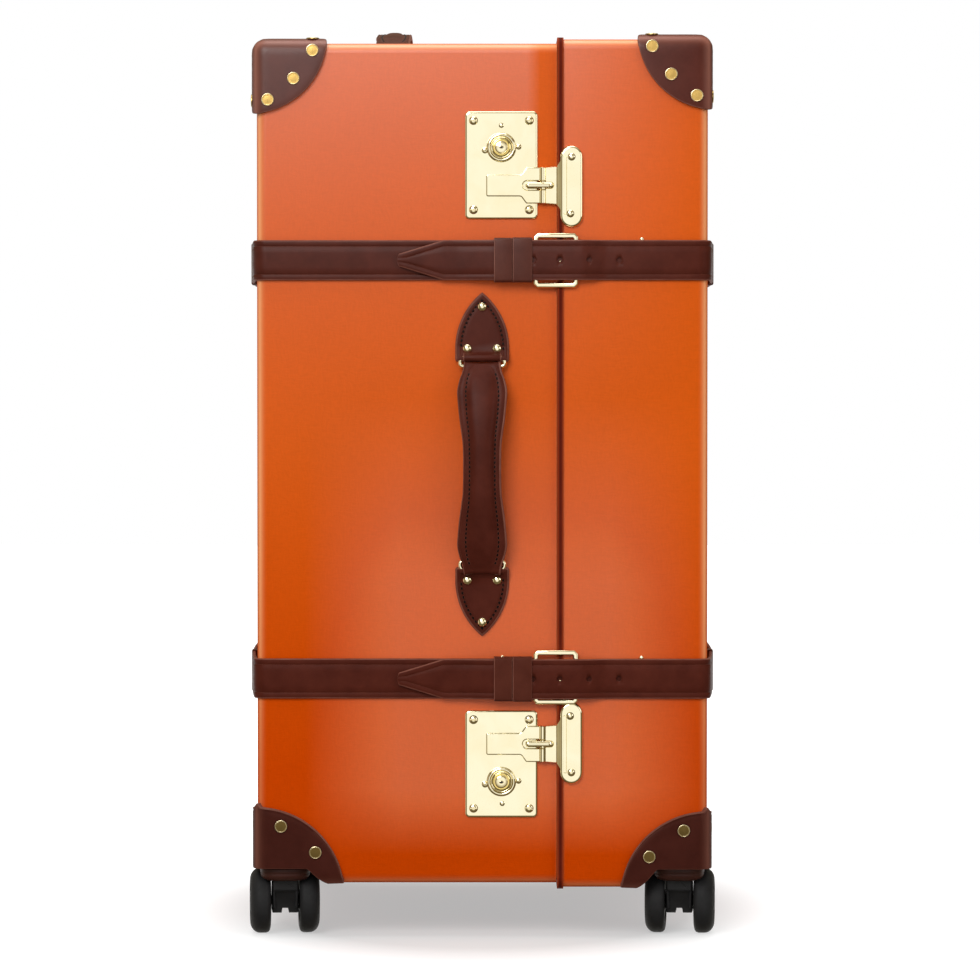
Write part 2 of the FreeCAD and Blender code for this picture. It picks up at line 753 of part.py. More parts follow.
def strap_side_edges(case, offset):
    """Plan of one long side of a strap: front corner, bowed side, back corner."""
    side = case["side"]
    radius = edge_radius + strap_gap + offset
    cx = side * (side_x - edge_radius)
    cy = case["half"] - edge_radius
    slant = math.sqrt(0.5) * radius
    front_a = Vector(cx, -cy - radius, 0)
    front_m = Vector(cx + side * slant, -cy - slant, 0)
    front_b = Vector(cx + side * radius, -cy, 0)
    middle = Vector(cx + side * (radius + strap_bulge), 0, 0)
    back_b = Vector(cx + side * radius, cy, 0)
    back_m = Vector(cx + side * slant, cy + slant, 0)
    back_a = Vector(cx, cy + radius, 0)
    return front_a, back_a, [arc(front_a, front_m, front_b), arc(front_b, middle, back_b),
                             arc(back_b, back_m, back_a)]


def strap_around(case, front_x, back_x, level):
    """Strap round one side of the trunk, from front_x on the front to back_x on the back."""
    inner_front, inner_back, inner = strap_side_edges(case, 0)
    outer_front, outer_back, outer = strap_side_edges(case, strap_thickness)
    start_in = Vector(front_x, inner_front.y, 0)
    start_out = Vector(front_x, outer_front.y, 0)
    end_in = Vector(back_x, inner_back.y, 0)
    end_out = Vector(back_x, outer_back.y, 0)
    edges = [line(start_in, inner_front)] + inner + [line(inner_back, end_in), line(end_in, end_out)]
    edges += [line(end_out, outer_back)] + outer + [line(outer_front, start_out), line(start_out, start_in)]
    wire = Part.Wire(Part.__sortEdges__(edges))
    solid = Part.Face(wire).extrude(Vector(0, 0, 2 * strap_half))
    solid.translate(Vector(0, 0, level - strap_half))
    return solid


def buckle_frame(level):
    """Flat rectangular buckle with cut corners, lying behind the billet."""
    cut = frame_cut
    outline = [(frame_x0 + cut, -frame_half), (frame_x1 - cut, -frame_half), (frame_x1, -frame_half + cut)]
    outline += [(frame_x1, frame_half - cut), (frame_x1 - cut, frame_half), (frame_x0 + cut, frame_half)]
    outline += [(frame_x0, frame_half - cut), (frame_x0, -frame_half + cut)]
    outer = slab([(x, level + h) for x, h in outline], frame_outer_y, frame_inner_y, "xz")
    window = block(frame_x0 + frame_bar, frame_x1 - frame_bar, -240, -225,
                   level - frame_half + frame_bar, level + frame_half - frame_bar)
    across = lambda e: abs(e.Vertexes[0].Y - e.Vertexes[-1].Y) > 5
    return outer.cut(fillet(window, 3.0, across))


def buckle_tongue(level):
    """Prong from the frame's left bar to just under the billet's second hole."""
    top = -half_depth - billet_over + 0.3
    side = [(frame_x0 + frame_bar, frame_outer_y), (tongue_tip - 3.4, frame_outer_y), (tongue_tip - 2.2, top)]
    side += [(tongue_tip, top), (tongue_tip + 0.4, frame_inner_y), (frame_x0 + frame_bar, frame_inner_y)]
    return slab(side, level - tongue_half, level + tongue_half, "xy")


def base_strap(name):
    """Strap fixed to the base, doubled under the billet and folded round the buckle's left bar."""
    level = strap_levels[name]
    under = -half_depth - strap_gap
    run = strap_around(base_case, doubled_end_x, base_edge_x - 0.4, level)
    doubled = block(doubled_start_x, doubled_end_x, under - 2 * strap_thickness, under,
                    level - strap_half, level + strap_half)
    fold = block(doubled_end_x - 1, frame_x0 + frame_bar + 1.2, frame_outer_y - 1.0, under,
                 level - strap_half, level + strap_half)
    fold = fillet(fold, 1.2, lambda e: abs(e.Vertexes[0].Z - e.Vertexes[-1].Z) > 10)
    gap = block(frame_x0 + frame_bar - 2, frame_x0 + 10, -240, frame_inner_y + 0.3, level - 2.2, level + 2.2)
    strap = merge([run, doubled, fold])
    return strap.cut(buckle_frame(frame_levels[name])).cut(gap)


def billet_outline(level):
    """Front view of the billet: straight sides, then a point with a small round tip."""
    tip = billet_tip_x
    z0 = level - strap_half
    z1 = level + strap_half
    nose = billet_nose
    edges = [
        line(Vector(billet_pivot_x + 5, -250, z0), Vector(billet_shoulder_x, -250, z0)),
        line(Vector(billet_shoulder_x, -250, z0), Vector(tip + 2.5, -250, level - nose)),
        arc(Vector(tip + 2.5, -250, level - nose), Vector(tip, -250, level), Vector(tip + 2.5, -250, level + nose)),
        line(Vector(tip + 2.5, -250, level + nose), Vector(billet_shoulder_x, -250, z1)),
        line(Vector(billet_shoulder_x, -250, z1), Vector(billet_pivot_x + 5, -250, z1)),
        line(Vector(billet_pivot_x + 5, -250, z1), Vector(billet_pivot_x + 5, -250, z0)),
    ]
    return Part.Face(Part.Wire(Part.__sortEdges__(edges))).extrude(Vector(0, 40, 0))


def billet_side(offset):
    """Plan of the billet's inner or outer face, from its hinge line to its tip."""
    low = -half_depth - strap_gap - strap_thickness - 1.1 - offset
    high = -half_depth - billet_over - offset
    root = -half_depth - lid_growth - strap_gap - offset
    return [(billet_pivot_x, root), (billet_rise_x, high), (billet_high_x, high), (billet_low_x, low),
            (billet_tip_x - 5, low)]


def billet(name):
    level = strap_levels[name]
    inner = billet_side(0)
    outer = billet_side(strap_thickness)
    ribbon = slab(inner + outer[::-1], level - strap_half - 2, level + strap_half + 2, "xy")
    centre_y = (inner[0][1] + outer[0][1]) / 2
    knuckle = rod(Vector(billet_pivot_x, centre_y, level - strap_half - 2),
                  Vector(billet_pivot_x, centre_y, level + strap_half + 2), strap_thickness / 2)
    solid = merge([ribbon, knuckle]).common(billet_outline(level))
    for x in hole_places:
        if x < billet_rise_x:
            solid = solid.cut(rod(Vector(x, -245, level), Vector(x, -225, level), hole_radius))
    return solid


def lid_strap(name):
    level = strap_levels[name]
    strap = strap_around(lid_case, billet_pivot_x + 2.6, lid_edge_x + 0.5, level)
    hole = hole_places[-1]
    return strap.cut(rod(Vector(hole, -245, level), Vector(hole, -225, level), hole_radius))


def keeper_band(level, x0, x1, y0, y1, open_back):
    """Half of a keeper loop: a band across the strap with a leg above and below it."""
    reach = strap_half + keeper_clear
    outer = block(x0, x1, y0, y1, level - reach - keeper_wall, level + reach + keeper_wall)
    room = block(x0 - 1, x1 + 1, y0 + (keeper_wall if open_back else -1), y1 + 1, level - reach, level + reach)
    return outer.cut(room)


def keepers(level):
    """Front halves of the two keepers, which ride on the billet."""
    front = -half_depth - billet_over - strap_thickness
    bands = []
    for x0, x1 in zip(keeper_edges, keeper_edges[1:]):
        bands.append(keeper_band(level, x0 + keeper_gap, x1 - keeper_gap, front - keeper_wall - 0.1,
                                 keeper_split_y - 0.5, True))
    return bands


def keeper_backs(level):
    """Back halves of the keepers: short legs on the base, above and below the doubled strap."""
    bands = []
    for x0, x1 in zip(keeper_edges, keeper_edges[1:]):
        band = keeper_band(level, x0 + keeper_gap, x1 - keeper_gap, keeper_split_y, -half_depth - 0.2, False)
        bands += band.Solids
    return bands


def strap_loops(case, level):
    """Leather loops on the side of the trunk that hold the bowed strap."""
    side = case["side"]
    reach = case["half"] - edge_radius
    strap_out = side_x + strap_gap + strap_bulge * (1 - (loop_y - loop_half) ** 2 / reach ** 2)
    outer_x = strap_out + strap_thickness + 0.5 + loop_thickness
    loops = []
    for y in (-loop_y, loop_y):
        low, high = sorted((side * side_x, side * outer_x))
        room_half = strap_half + loop_clear
        loop_rise = room_half + 2.6
        outer = block(low, high, y - loop_half, y + loop_half, level - loop_rise, level + loop_rise)
        low, high = sorted((side * (side_x - 1), side * (outer_x - loop_thickness)))
        room = block(low, high, y - 20, y + 20, level - room_half, level + room_half)
        loops.append(outer.cut(room))
    return loops


frames = []
tongues = []
backs = []
loops_base = []
loops_lid = []
for name, level in strap_levels.items():
    export("strap_" + name + "_base", [base_strap(name)])
    export("strap_" + name + "_lid", [lid_strap(name)])
    export("billet_" + name, [billet(name)])
    export("keepers_" + name, keepers(level))
    frames.append(buckle_frame(frame_levels[name]))
    tongues.append(buckle_tongue(level))
    backs += keeper_backs(level)
    loops_base += strap_loops(base_case, level)
    loops_lid += strap_loops(lid_case, level)
export("buckle_frames", frames)
export("buckle_tongues", tongues)
export("keeper_backs", backs)
export("strap_loops_base", loops_base)
export("strap_loops_lid", loops_lid)


# Handles, drawn upright on a wall at y = 0 that faces -Y, centred on the grip at rest

pivot_rise = ring_reach


def handle_chape(end_z, up, pivot_z):
    """Pointed leather pad, with a roll at its blunt end that holds the ring's bar."""
    def at(x, h):
        return Vector(x, 0, end_z + up * h)

    bend_x, bend_h = chape_bend
    edges = [
        line(at(-chape_half, 0), at(chape_half, 0)),
        line(at(chape_half, 0), at(chape_half, chape_shoulder)),
        arc(at(chape_half, chape_shoulder), at(bend_x, bend_h), at(0, chape_length)),
        arc(at(0, chape_length), at(-bend_x, bend_h), at(-chape_half, chape_shoulder)),
        line(at(-chape_half, chape_shoulder), at(-chape_half, 0)),
    ]
    face = Part.Face(Part.Wire(Part.__sortEdges__(edges)))
    pad = face.extrude(Vector(0, -chape_thickness, 0))
    roll = rod(Vector(-roll_half, -bar_stand, pivot_z), Vector(roll_half, -bar_stand, pivot_z), roll_radius)
    near = pivot_z - up * 2.5
    far = pivot_z + up * max(3.0, up * (end_z - pivot_z) + 0.5)
    web = slab([(0, near), (-bar_stand, near), (-bar_stand, pivot_z + up * 2), (-chape_thickness, far), (0, far)],
               -roll_half, roll_half, "yz")
    bore = rod(Vector(-30, -bar_stand, pivot_z), Vector(30, -bar_stand, pivot_z), ring_wire + running)
    return merge([pad, roll, web]).cut(bore)


def handle_studs(end_z, up):
    spots = [(0, stud_far), (-stud_side, stud_near), (stud_side, stud_near)]
    return [dome(Vector(x, -chape_thickness, end_z + up * h), Vector(0, -1, 0), stud_radius, stud_height)
            for x, h in spots]


def handle_ring(pivot_z):
    """Rectangular wire link: one bar turns in the chape, the other in the grip's end."""
    grip_z = pivot_z - ring_reach
    shapes = []
    for z in (pivot_z, grip_z):
        shapes.append(rod(Vector(-ring_half, -bar_stand, z), Vector(ring_half, -bar_stand, z), ring_wire))
    for x in (-ring_half, ring_half):
        shapes.append(rod(Vector(x, -bar_stand, grip_z), Vector(x, -bar_stand, pivot_z), ring_wire))
        for z in (pivot_z, grip_z):
            shapes.append(Part.makeSphere(ring_wire, Vector(x, -bar_stand, z)))
    return merge(shapes)


# Rows give the distance from the middle, then half widths and heights above the wall
grip_outline = [(95.5, 16.4), (88.0, 17.6), (70.0, 22.3), (45.0, 20.4), (20.0, 17.3), (0.0, 17.0)]
grip_arch = [(86.0, 12.2), (62.0, 18.4), (32.0, 23.2), (0.0, 24.8)]
grip_sheet = 3.0
core_sections = [(89.0, 11.2, 6.0, 1.6), (80.0, 13.8, 9.5, 3.2), (62.0, 18.3, 12.5, 5.4),
                 (32.0, 22.9, 12.5, 6.6), (0.0, 24.2, 12.5, 6.9)]


def both_ways(rows):
    """Rows from an end to the middle, carried on to the far end."""
    return rows + [(-row[0],) + tuple(row[1:]) for row in rows[-2::-1]]


def grip():
    """Arched leather handle: a flat stitched sheet with a padded core, looped round both bars."""
    right = [Vector(w, 0, z) for z, w in both_ways(grip_outline)]
    left = [Vector(-w, 0, z) for z, w in both_ways(grip_outline)][::-1]
    edges = [spline(right), line(right[-1], left[0]), spline(left), line(left[-1], right[0])]
    outline = Part.Face(Part.Wire(Part.__sortEdges__(edges))).extrude(Vector(0, -60, 0))
    arch_out = [Vector(0, -n - grip_sheet / 2, z) for z, n in both_ways(grip_arch)]
    arch_in = [Vector(0, -n + grip_sheet / 2, z) for z, n in both_ways(grip_arch)][::-1]
    edges = [spline(arch_out), line(arch_out[-1], arch_in[0]), spline(arch_in), line(arch_in[-1], arch_out[0])]
    sheet = Part.Face(Part.Wire(Part.__sortEdges__(edges))).extrude(Vector(60, 0, 0))
    sheet.translate(Vector(-30, 0, 0))
    shapes = [sheet]
    for z in (-grip_half, grip_half):
        end = math.copysign(1, z)
        shapes.append(rod(Vector(-30, -bar_stand, z), Vector(30, -bar_stand, z), eye_radius))
        outer = [(-bar_stand + 3, z), (-bar_stand - eye_radius, z + end * 1.5), (-13.7, z - end * 5.5)]
        outer += [(-10.7, z - end * 5.5), (-bar_stand - 1.5, z - end * 3.2)]
        shapes.append(slab(outer, -30, 30, "yz"))
    body = merge(shapes).common(outline)
    wires = []
    for z, n, half_wide, half_thick in both_ways(core_sections):
        ring = Part.Ellipse(Vector(0, -n, z), half_wide, half_thick)
        ring = Part.Wire([ring.toShape()])
        wires.append(ring)
    core = Part.makeLoft(wires, True, False)
    solid = merge([body, core])
    for z in (-grip_half, grip_half):
        solid = solid.cut(rod(Vector(-40, -bar_stand, z), Vector(40, -bar_stand, z), ring_wire + running))
    roll_room = rod(Vector(-roll_half - 1, -bar_stand, -grip_half + ring_reach),
                    Vector(roll_half + 1, -bar_stand, -grip_half + ring_reach), roll_radius + 0.4)
    return solid.cut(roll_room)


def place_front(shape):
    shape.translate(Vector(front_handle[0], -half_depth, front_handle[1]))
    return shape


def place_top(shape):
    shape.rotate(Vector(0, 0, 0), Vector(1, 0, 0), -90)
    shape.translate(Vector(top_handle[0], top_handle[1], base_top))
    return shape


upper_pivot = grip_half + pivot_rise
lower_pivot = -grip_half + pivot_rise
upper_end = upper_pivot - 4.1
lower_end = lower_pivot - 5.2
chapes = []
studs = []
for place in (place_front, place_top):
    chapes.append(place(handle_chape(upper_end, 1, upper_pivot)))
    chapes.append(place(handle_chape(lower_end, -1, lower_pivot)))
    for stud in handle_studs(upper_end, 1) + handle_studs(lower_end, -1):
        studs.append(place(stud))
export("handle_chapes", chapes)
export("handle_studs", studs)
export("front_ring_upper", [place_front(handle_ring(upper_pivot))])
export("front_ring_lower", [place_front(handle_ring(lower_pivot))])
export("front_grip", [place_front(grip())])
export("top_ring_back", [place_top(handle_ring(upper_pivot))])
export("top_ring_front", [place_top(handle_ring(lower_pivot))])
export("top_grip", [place_top(grip())])

# Garment rail and its brackets, inside the base
liner_x = -side_x + wall + lining_gap + lining
liner_top = base_top - wall - lining_gap - lining
rail_x = liner_x + flange_thickness
rail = rod(Vector(rail_x, 0, rail_z), Vector(rail_bracket_x + 14, 0, rail_z), rail_radius)
hollow_rail = rod(Vector(liner_x, 0, rail_z), Vector(rail_bracket_x + 20, 0, rail_z), rail_radius - rail_wall)
export("garment_rail", [rail.cut(hollow_rail)])
flange = rod(Vector(liner_x, 0, rail_z), Vector(rail_x, 0, rail_z), flange_radius)
socket = rod(Vector(rail_x, 0, rail_z), Vector(rail_x + socket_length, 0, rail_z), rail_radius + eye_wall)
seat = rod(Vector(rail_x, 0, rail_z), Vector(rail_x + 26, 0, rail_z), rail_radius)
wall_bracket = merge([flange, socket]).cut(seat)
hanger_x0 = rail_bracket_x - hanger_half
hanger_x1 = rail_bracket_x + hanger_half
hanger = block(hanger_x0, hanger_x1, -hanger_wide, hanger_wide, rail_z, liner_top)
foot = block(hanger_x0, hanger_x1, -foot_half, foot_half, liner_top - foot_thickness, liner_top)
eye = rod(Vector(hanger_x0, 0, rail_z), Vector(hanger_x1, 0, rail_z), rail_radius + eye_wall)
seat = rod(Vector(hanger_x0 - 1, 0, rail_z), Vector(hanger_x1 + 1, 0, rail_z), rail_radius)
top_bracket = merge([hanger, foot, eye]).cut(seat)
export("rail_brackets", [wall_bracket, top_bracket])

# Gathered pocket on the inside of the lid
pocket_face = side_x - wall - lining_gap - lining
pocket = block(pocket_face - pocket_depth, pocket_face, -pocket_half, pocket_half, pocket_z[0], pocket_z[1])
pocket = fillet(pocket, 4.0, lambda e: all(v.X < pocket_face - 1 for v in e.Vertexes))
export("lid_pocket", [pocket])
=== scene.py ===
import math
import random

import bmesh
import bpy
from mathutils import Matrix, Vector, noise


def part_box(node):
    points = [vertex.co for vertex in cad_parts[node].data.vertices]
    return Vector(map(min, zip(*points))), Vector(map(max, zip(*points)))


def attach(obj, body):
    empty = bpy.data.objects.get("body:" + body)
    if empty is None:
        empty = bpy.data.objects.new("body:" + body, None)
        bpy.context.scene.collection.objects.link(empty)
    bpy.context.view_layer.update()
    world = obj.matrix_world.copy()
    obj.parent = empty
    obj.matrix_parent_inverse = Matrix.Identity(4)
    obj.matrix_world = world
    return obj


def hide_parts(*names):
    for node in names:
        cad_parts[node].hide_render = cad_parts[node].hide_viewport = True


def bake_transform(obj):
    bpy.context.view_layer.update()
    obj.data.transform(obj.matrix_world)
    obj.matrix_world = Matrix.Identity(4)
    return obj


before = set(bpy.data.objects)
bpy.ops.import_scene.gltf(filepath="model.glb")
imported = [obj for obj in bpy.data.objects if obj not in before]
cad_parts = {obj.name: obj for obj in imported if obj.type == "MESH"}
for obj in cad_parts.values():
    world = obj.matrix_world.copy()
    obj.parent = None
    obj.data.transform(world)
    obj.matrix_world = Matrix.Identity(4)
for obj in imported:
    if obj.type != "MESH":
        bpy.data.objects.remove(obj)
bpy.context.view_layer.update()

mm = 0.001
draw = random.Random(7)
toFront, toBack, toTop = (0, -1, 0), (0, 1, 0), (0, 0, 1)

# The trunk's own sizes in millimetres
trunk = {
    "sideX": 202.5, "edgeRound": 9.0,
    "strapLevels": {"upper": 609.4, "lower": 234.0},
    "locks": {"upper": (694.5, 1), "lower": (157.0, -1)},
}
cases = {
    "base": {"side": -1, "half": 225.0, "bottom": 49.0, "top": 804.0},
    "lid": {"side": 1, "half": 228.5, "bottom": 45.5, "top": 807.5},
}


def say(stage):
    print("stage:", stage, flush=True)


# Shader nodes; a value is a number, a colour, a vector or a (node, output) pair

class Graph:
    def __init__(self, tree):
        self.tree = tree

    def feed(self, node, socket, value):
        entry = node.inputs[socket]
        if isinstance(value, tuple) and isinstance(value[0], bpy.types.Node):
            self.tree.links.new(value[0].outputs[value[1]], entry)
        else:
            entry.default_value = (*value, 1.0) if entry.type == "RGBA" else value

    def add(self, kind, output, inputs, **settings):
        node = self.tree.nodes.new("ShaderNode" + kind)
        for key, value in settings.items():
            setattr(node, key, value)
        for socket, value in inputs.items():
            self.feed(node, socket, value)
        return node, output

    def math(self, operation, a, b=None, clamp=False):
        inputs = {0: a} if b is None else {0: a, 1: b}
        return self.add("Math", 0, inputs, operation=operation, use_clamp=clamp)

    def times(self, a, b):
        return self.math("MULTIPLY", a, b)

    def plus(self, a, b):
        return self.math("ADD", a, b)

    def minus(self, a, b):
        return self.math("SUBTRACT", a, b)

    def ramp(self, value, low, high, outLow=0.0, outHigh=1.0):
        return self.add("MapRange", 0, {"Value": value, "From Min": low, "From Max": high,
                                        "To Min": outLow, "To Max": outHigh})

    def vector(self, operation, a, b, output="Vector"):
        return self.add("VectorMath", output, {0: a, 1: b}, operation=operation)

    def scaled(self, vector, factor):
        return self.add("VectorMath", "Vector", {0: vector, "Scale": factor}, operation="SCALE")

    def noise(self, place, **inputs):
        return self.add("TexNoise", "Fac", {"Vector": place, **inputs})

    def place(self, output="Object"):
        return self.add("TexCoord", output, {})

    def axes(self, vector):
        split, _ = self.add("SeparateXYZ", 0, {"Vector": vector})
        return [(split, axis) for axis in "XYZ"]

    def mix(self, mask, first, second):
        return self.add("Mix", 2, {0: mask, 6: first, 7: second}, data_type="RGBA")

    def use(self, effect, **inputs):
        return self.add("Group", 0, inputs, node_tree=effects[effect])[0]


# Shared effects; each layout returns its outputs by name

def leatherGrain(g, scale, creases):
    # pebbled pores with long soft creases
    place = g.scaled(g.place(), scale)
    warp, _ = g.noise(place, Scale=0.6, Detail=3.0)
    bent = g.vector("ADD", place, (warp, "Color"))
    pores = g.add("TexVoronoi", "Distance", {"Vector": bent, "Scale": 1.0, "Randomness": 0.9},
                  feature="DISTANCE_TO_EDGE")
    wide = g.noise(place, Scale=0.035, Detail=6.0, Roughness=0.62)
    crease = g.noise(place, Scale=0.12, Detail=2.0, Distortion=1.4)
    fold = g.ramp(g.math("ABSOLUTE", g.minus(crease, 0.5)), 0.0, 0.07)
    height = g.plus(g.ramp(pores, 0.0, 0.22), g.times(fold, creases))
    return {"Height": g.plus(height, g.times(wide, 0.5)), "Tone": g.ramp(wide, 0.32, 0.68), "Polish": crease}


def fibreGrain(g, scale, crinkle):
    # pressed fibre board: short fibres in every direction, a faint crinkle and cloudy tone
    place = g.scaled(g.place(), scale)
    drift, _ = g.noise(place, Scale=0.09, Detail=2.0)
    bent = g.vector("ADD", place, g.scaled((drift, "Color"), 5.0))
    along, across, lumps = [g.noise(g.vector("MULTIPLY", bent, stretch), Scale=1.0, Detail=3.0, Roughness=0.55)
                            for stretch in ((0.35, 0.35, 2.2), (1.9, 1.9, 0.4), (1.0, 1.3, 1.2))]
    both = g.plus(along, across)
    return {"Height": g.plus(both, g.times(lumps, crinkle)), "Tone": g.ramp(both, 0.75, 1.25),
            "Cloud": g.ramp(g.noise(place, Scale=0.022, Detail=4.0), 0.3, 0.7)}


def edgeWear(g, width, amount, gaps):
    # mask along outer edges, broken up by noise
    soft = g.add("Bevel", "Normal", {"Radius": width}, samples=4)
    flat = g.add("NewGeometry", "Normal", {})
    edge = g.ramp(g.vector("DOT_PRODUCT", soft, flat, "Value"), 0.995, 0.86)
    holes = g.ramp(g.noise(g.place(), Scale=190.0, Detail=5.0, Roughness=0.7), 0.38, 0.62)
    broken = g.plus(g.minus(1.0, gaps), g.times(holes, gaps))
    return {"Mask": g.math("MULTIPLY", g.times(edge, broken), amount, True)}


def handling(g, scale, low, high):
    # fine scratches and smudges on polished metal
    place = g.scaled(g.vector("MULTIPLY", g.place(), (1.0, 1.0, 0.12)), scale)
    lines = g.noise(place, Scale=1.0, Detail=4.0, Roughness=0.7)
    smudge = g.noise(g.place(), Scale=46.0, Detail=3.0, Distortion=0.6)
    share = g.ramp(g.times(lines, smudge), 0.12, 0.45)
    return {"Rough": g.plus(g.times(share, g.minus(high, low)), low), "Height": lines,
            "Smudge": g.ramp(smudge, 0.35, 0.7)}


def weave(g, threads):
    # plain woven cloth
    place = g.place()
    x, y, z = g.axes(place)
    first, second = [g.math("SINE", g.times(source, threads)) for source in (g.plus(x, y), z)]
    fuzz = g.noise(place, Scale=900.0, Detail=3.0)
    slub = g.noise(place, Scale=60.0, Detail=5.0, Roughness=0.7)
    return {"Height": g.plus(g.times(first, second), fuzz), "Tone": g.ramp(slub, 0.3, 0.7)}


def paintedHeightLight(g, low, high, most):
    # painted light: how far a point lies up the trunk, straight and as a curve that grows near the top, where a
    # painted sheen is laid
    x, _, z = g.axes(g.place())
    share = g.ramp(z, low, high)
    curve = g.times(g.math("POWER", share, 3.0), most)
    # painted light: the sheen fades towards the right side
    right = g.ramp(x, 0.08, 0.19, 1.0, 0.2)
    # painted shade: a strip just before the joint, above the upper strap, is kept clear of the sheen, where the lid's
    # step shades the base
    strip = g.times(g.ramp(x, 0.040, 0.052), g.ramp(x, 0.0668, 0.0672, 1.0, 0.0))
    joint = g.times(strip, g.ramp(z, 0.60, 0.68))
    # painted light: a second soft lit patch lies low on the front
    wide = g.ramp(g.math("ABSOLUTE", g.minus(x, 0.0206)), 0.095, 0.18, 1.0, 0.0)
    tall = g.times(g.ramp(z, 0.32, 0.486, 1.0, 0.0), g.ramp(z, 0.075, 0.135))
    return {"Share": share, "Haze": g.times(curve, right), "Clear": g.ramp(joint, 0.0, 1.0, 1.0, 0.15),
            "Patch": g.times(wide, tall)}


def roundness(g, full):
    # zero on the flat walls, rising to one where an edge or corner rounds over
    x, y, z = g.axes(g.add("VectorMath", "Vector", {0: g.place("Normal")}, operation="ABSOLUTE"))
    most = g.math("MAXIMUM", g.math("MAXIMUM", x, y), z)
    return {"Mask": g.math("DIVIDE", g.minus(1.0, most), full, True)}


def makeEffect(layout, **inputs):
    tree = bpy.data.node_groups.new(layout.__name__, "ShaderNodeTree")
    for label, value in inputs.items():
        entry = tree.interface.new_socket(name=label, in_out="INPUT", socket_type="NodeSocketFloat")
        entry.default_value = value
    g, start = Graph(tree), tree.nodes.new("NodeGroupInput")
    results = layout(g, *[(start, label) for label in inputs])
    for label in results:
        tree.interface.new_socket(name=label, in_out="OUTPUT", socket_type="NodeSocketFloat")
    end = tree.nodes.new("NodeGroupOutput")
    for label, value in results.items():
        g.feed(end, label, value)
    return tree


effects = {
    "roundness": makeEffect(roundness, Full=0.27),
    "paintedHeightLight": makeEffect(paintedHeightLight, Low=0.15, High=0.8, Most=1.0),
    "leatherGrain": makeEffect(leatherGrain, Scale=900.0, Creases=0.3),
    "fibreGrain": makeEffect(fibreGrain, Scale=260.0, Crinkle=0.6),
    "edgeWear": makeEffect(edgeWear, Width=0.0015, Amount=1.0, Break=0.5),
    "handling": makeEffect(handling, Scale=420.0, Low=0.1, High=0.3),
    "weave": makeEffect(weave, Threads=1400.0),
}


# Materials

def startMaterial(name, **values):
    # plain values go straight on the Principled sockets
    material = bpy.data.materials.new(name)
    material.use_nodes = True
    g, shader = Graph(material.node_tree), material.node_tree.nodes["Principled BSDF"]
    for socket, value in values.items():
        g.feed(shader, socket.replace("_", " "), value)
    return material, g, shader


def endMaterial(g, shader, color, rough, height, strength, distance):
    g.feed(shader, "Base Color", color)
    if rough:
        g.feed(shader, "Roughness", rough)
    bump = g.add("Bump", "Normal", {"Strength": strength, "Distance": distance, "Height": height})
    g.feed(shader, "Normal", bump)


def leatherMaterial(name, dark, light, worn, rough, grain, bump, haze=0.4, lift=1.0, rim=0.0):
    # lift brightens the leather near the top of the trunk as painted light, haze is a painted sheen there, rim is a
    # painted highlight that pales rounded sides
    material, g, shader = startMaterial(name, Coat_Roughness=0.4, Coat_IOR=1.8, IOR=1.48, Specular_IOR_Level=0.06)
    skin = g.use("leatherGrain", Scale=grain, Creases=0.35)
    paintedLight = g.use("paintedHeightLight", Low=0.15, High=0.8, Most=haze)
    # painted sheen: the coat grows near the top
    g.feed(shader, "Coat Weight", (paintedLight, "Haze"))
    # painted light: the leather is brightened towards the top
    paintedLitTone = g.scaled(g.mix((skin, "Tone"), dark, light), g.ramp((paintedLight, "Share"), 0.0, 1.0, 1.0, lift))
    rounded = g.use("roundness", Full=0.28)
    # painted highlight: rounded sides turn towards a pale version of the worn colour, more so higher up
    rimHighlightShare = g.times((rounded, "Mask"), g.ramp((paintedLight, "Share"), 0.0, 1.0, rim * 0.5, rim))
    pale = g.mix(rimHighlightShare, paintedLitTone, tuple(c * 1.9 for c in worn))
    wear = g.use("edgeWear", Width=0.0009, Amount=0.8, Break=0.7)
    gloss = g.ramp((skin, "Polish"), 0.2, 0.8, rough - 0.07, rough + 0.09)
    endMaterial(g, shader, g.mix((wear, "Mask"), pale, worn), gloss, (skin, "Height"), bump, 0.00012)
    return material


def metalMaterial(name, light, dark, edge, low, high, bump=0.05, floorShare=1.0):
    # edge is the colour along worn edges; the last argument is the share of brightness left near the floor, so the
    # metal is darker towards the bottom
    material, g, shader = startMaterial(name, Metallic=1.0)
    wear = g.use("handling", Scale=520.0, Low=low, High=high)
    level = g.use("paintedHeightLight", Low=0.1, High=0.75)
    # darker towards the floor
    dimmed = g.scaled(g.mix((wear, "Smudge"), light, dark), g.ramp((level, "Share"), 0.0, 1.0, floorShare, 1.0))
    rim = g.use("edgeWear", Width=0.0008, Amount=0.95, Break=0.15)
    endMaterial(g, shader, g.mix((rim, "Mask"), dimmed, edge), (wear, "Rough"), (wear, "Height"), bump, 0.00005)
    return material


def plasticMaterial(name, light, dark, rough, grain=1500.0, bump=0.15):
    material, g, shader = startMaterial(name, IOR=1.5, Specular_IOR_Level=0.22)
    skin = g.use("leatherGrain", Scale=grain, Creases=0.0)
    wear = g.use("edgeWear", Width=0.0008, Amount=0.5, Break=0.8)
    scuffed = tuple(min(1.0, c * 2.2 + 0.01) for c in light)
    color = g.mix((wear, "Mask"), g.mix((skin, "Tone"), dark, light), scuffed)
    gloss = g.ramp((skin, "Polish"), 0.2, 0.8, rough - 0.06, rough + 0.08)
    endMaterial(g, shader, color, gloss, (skin, "Height"), bump, 0.00006)
    return material


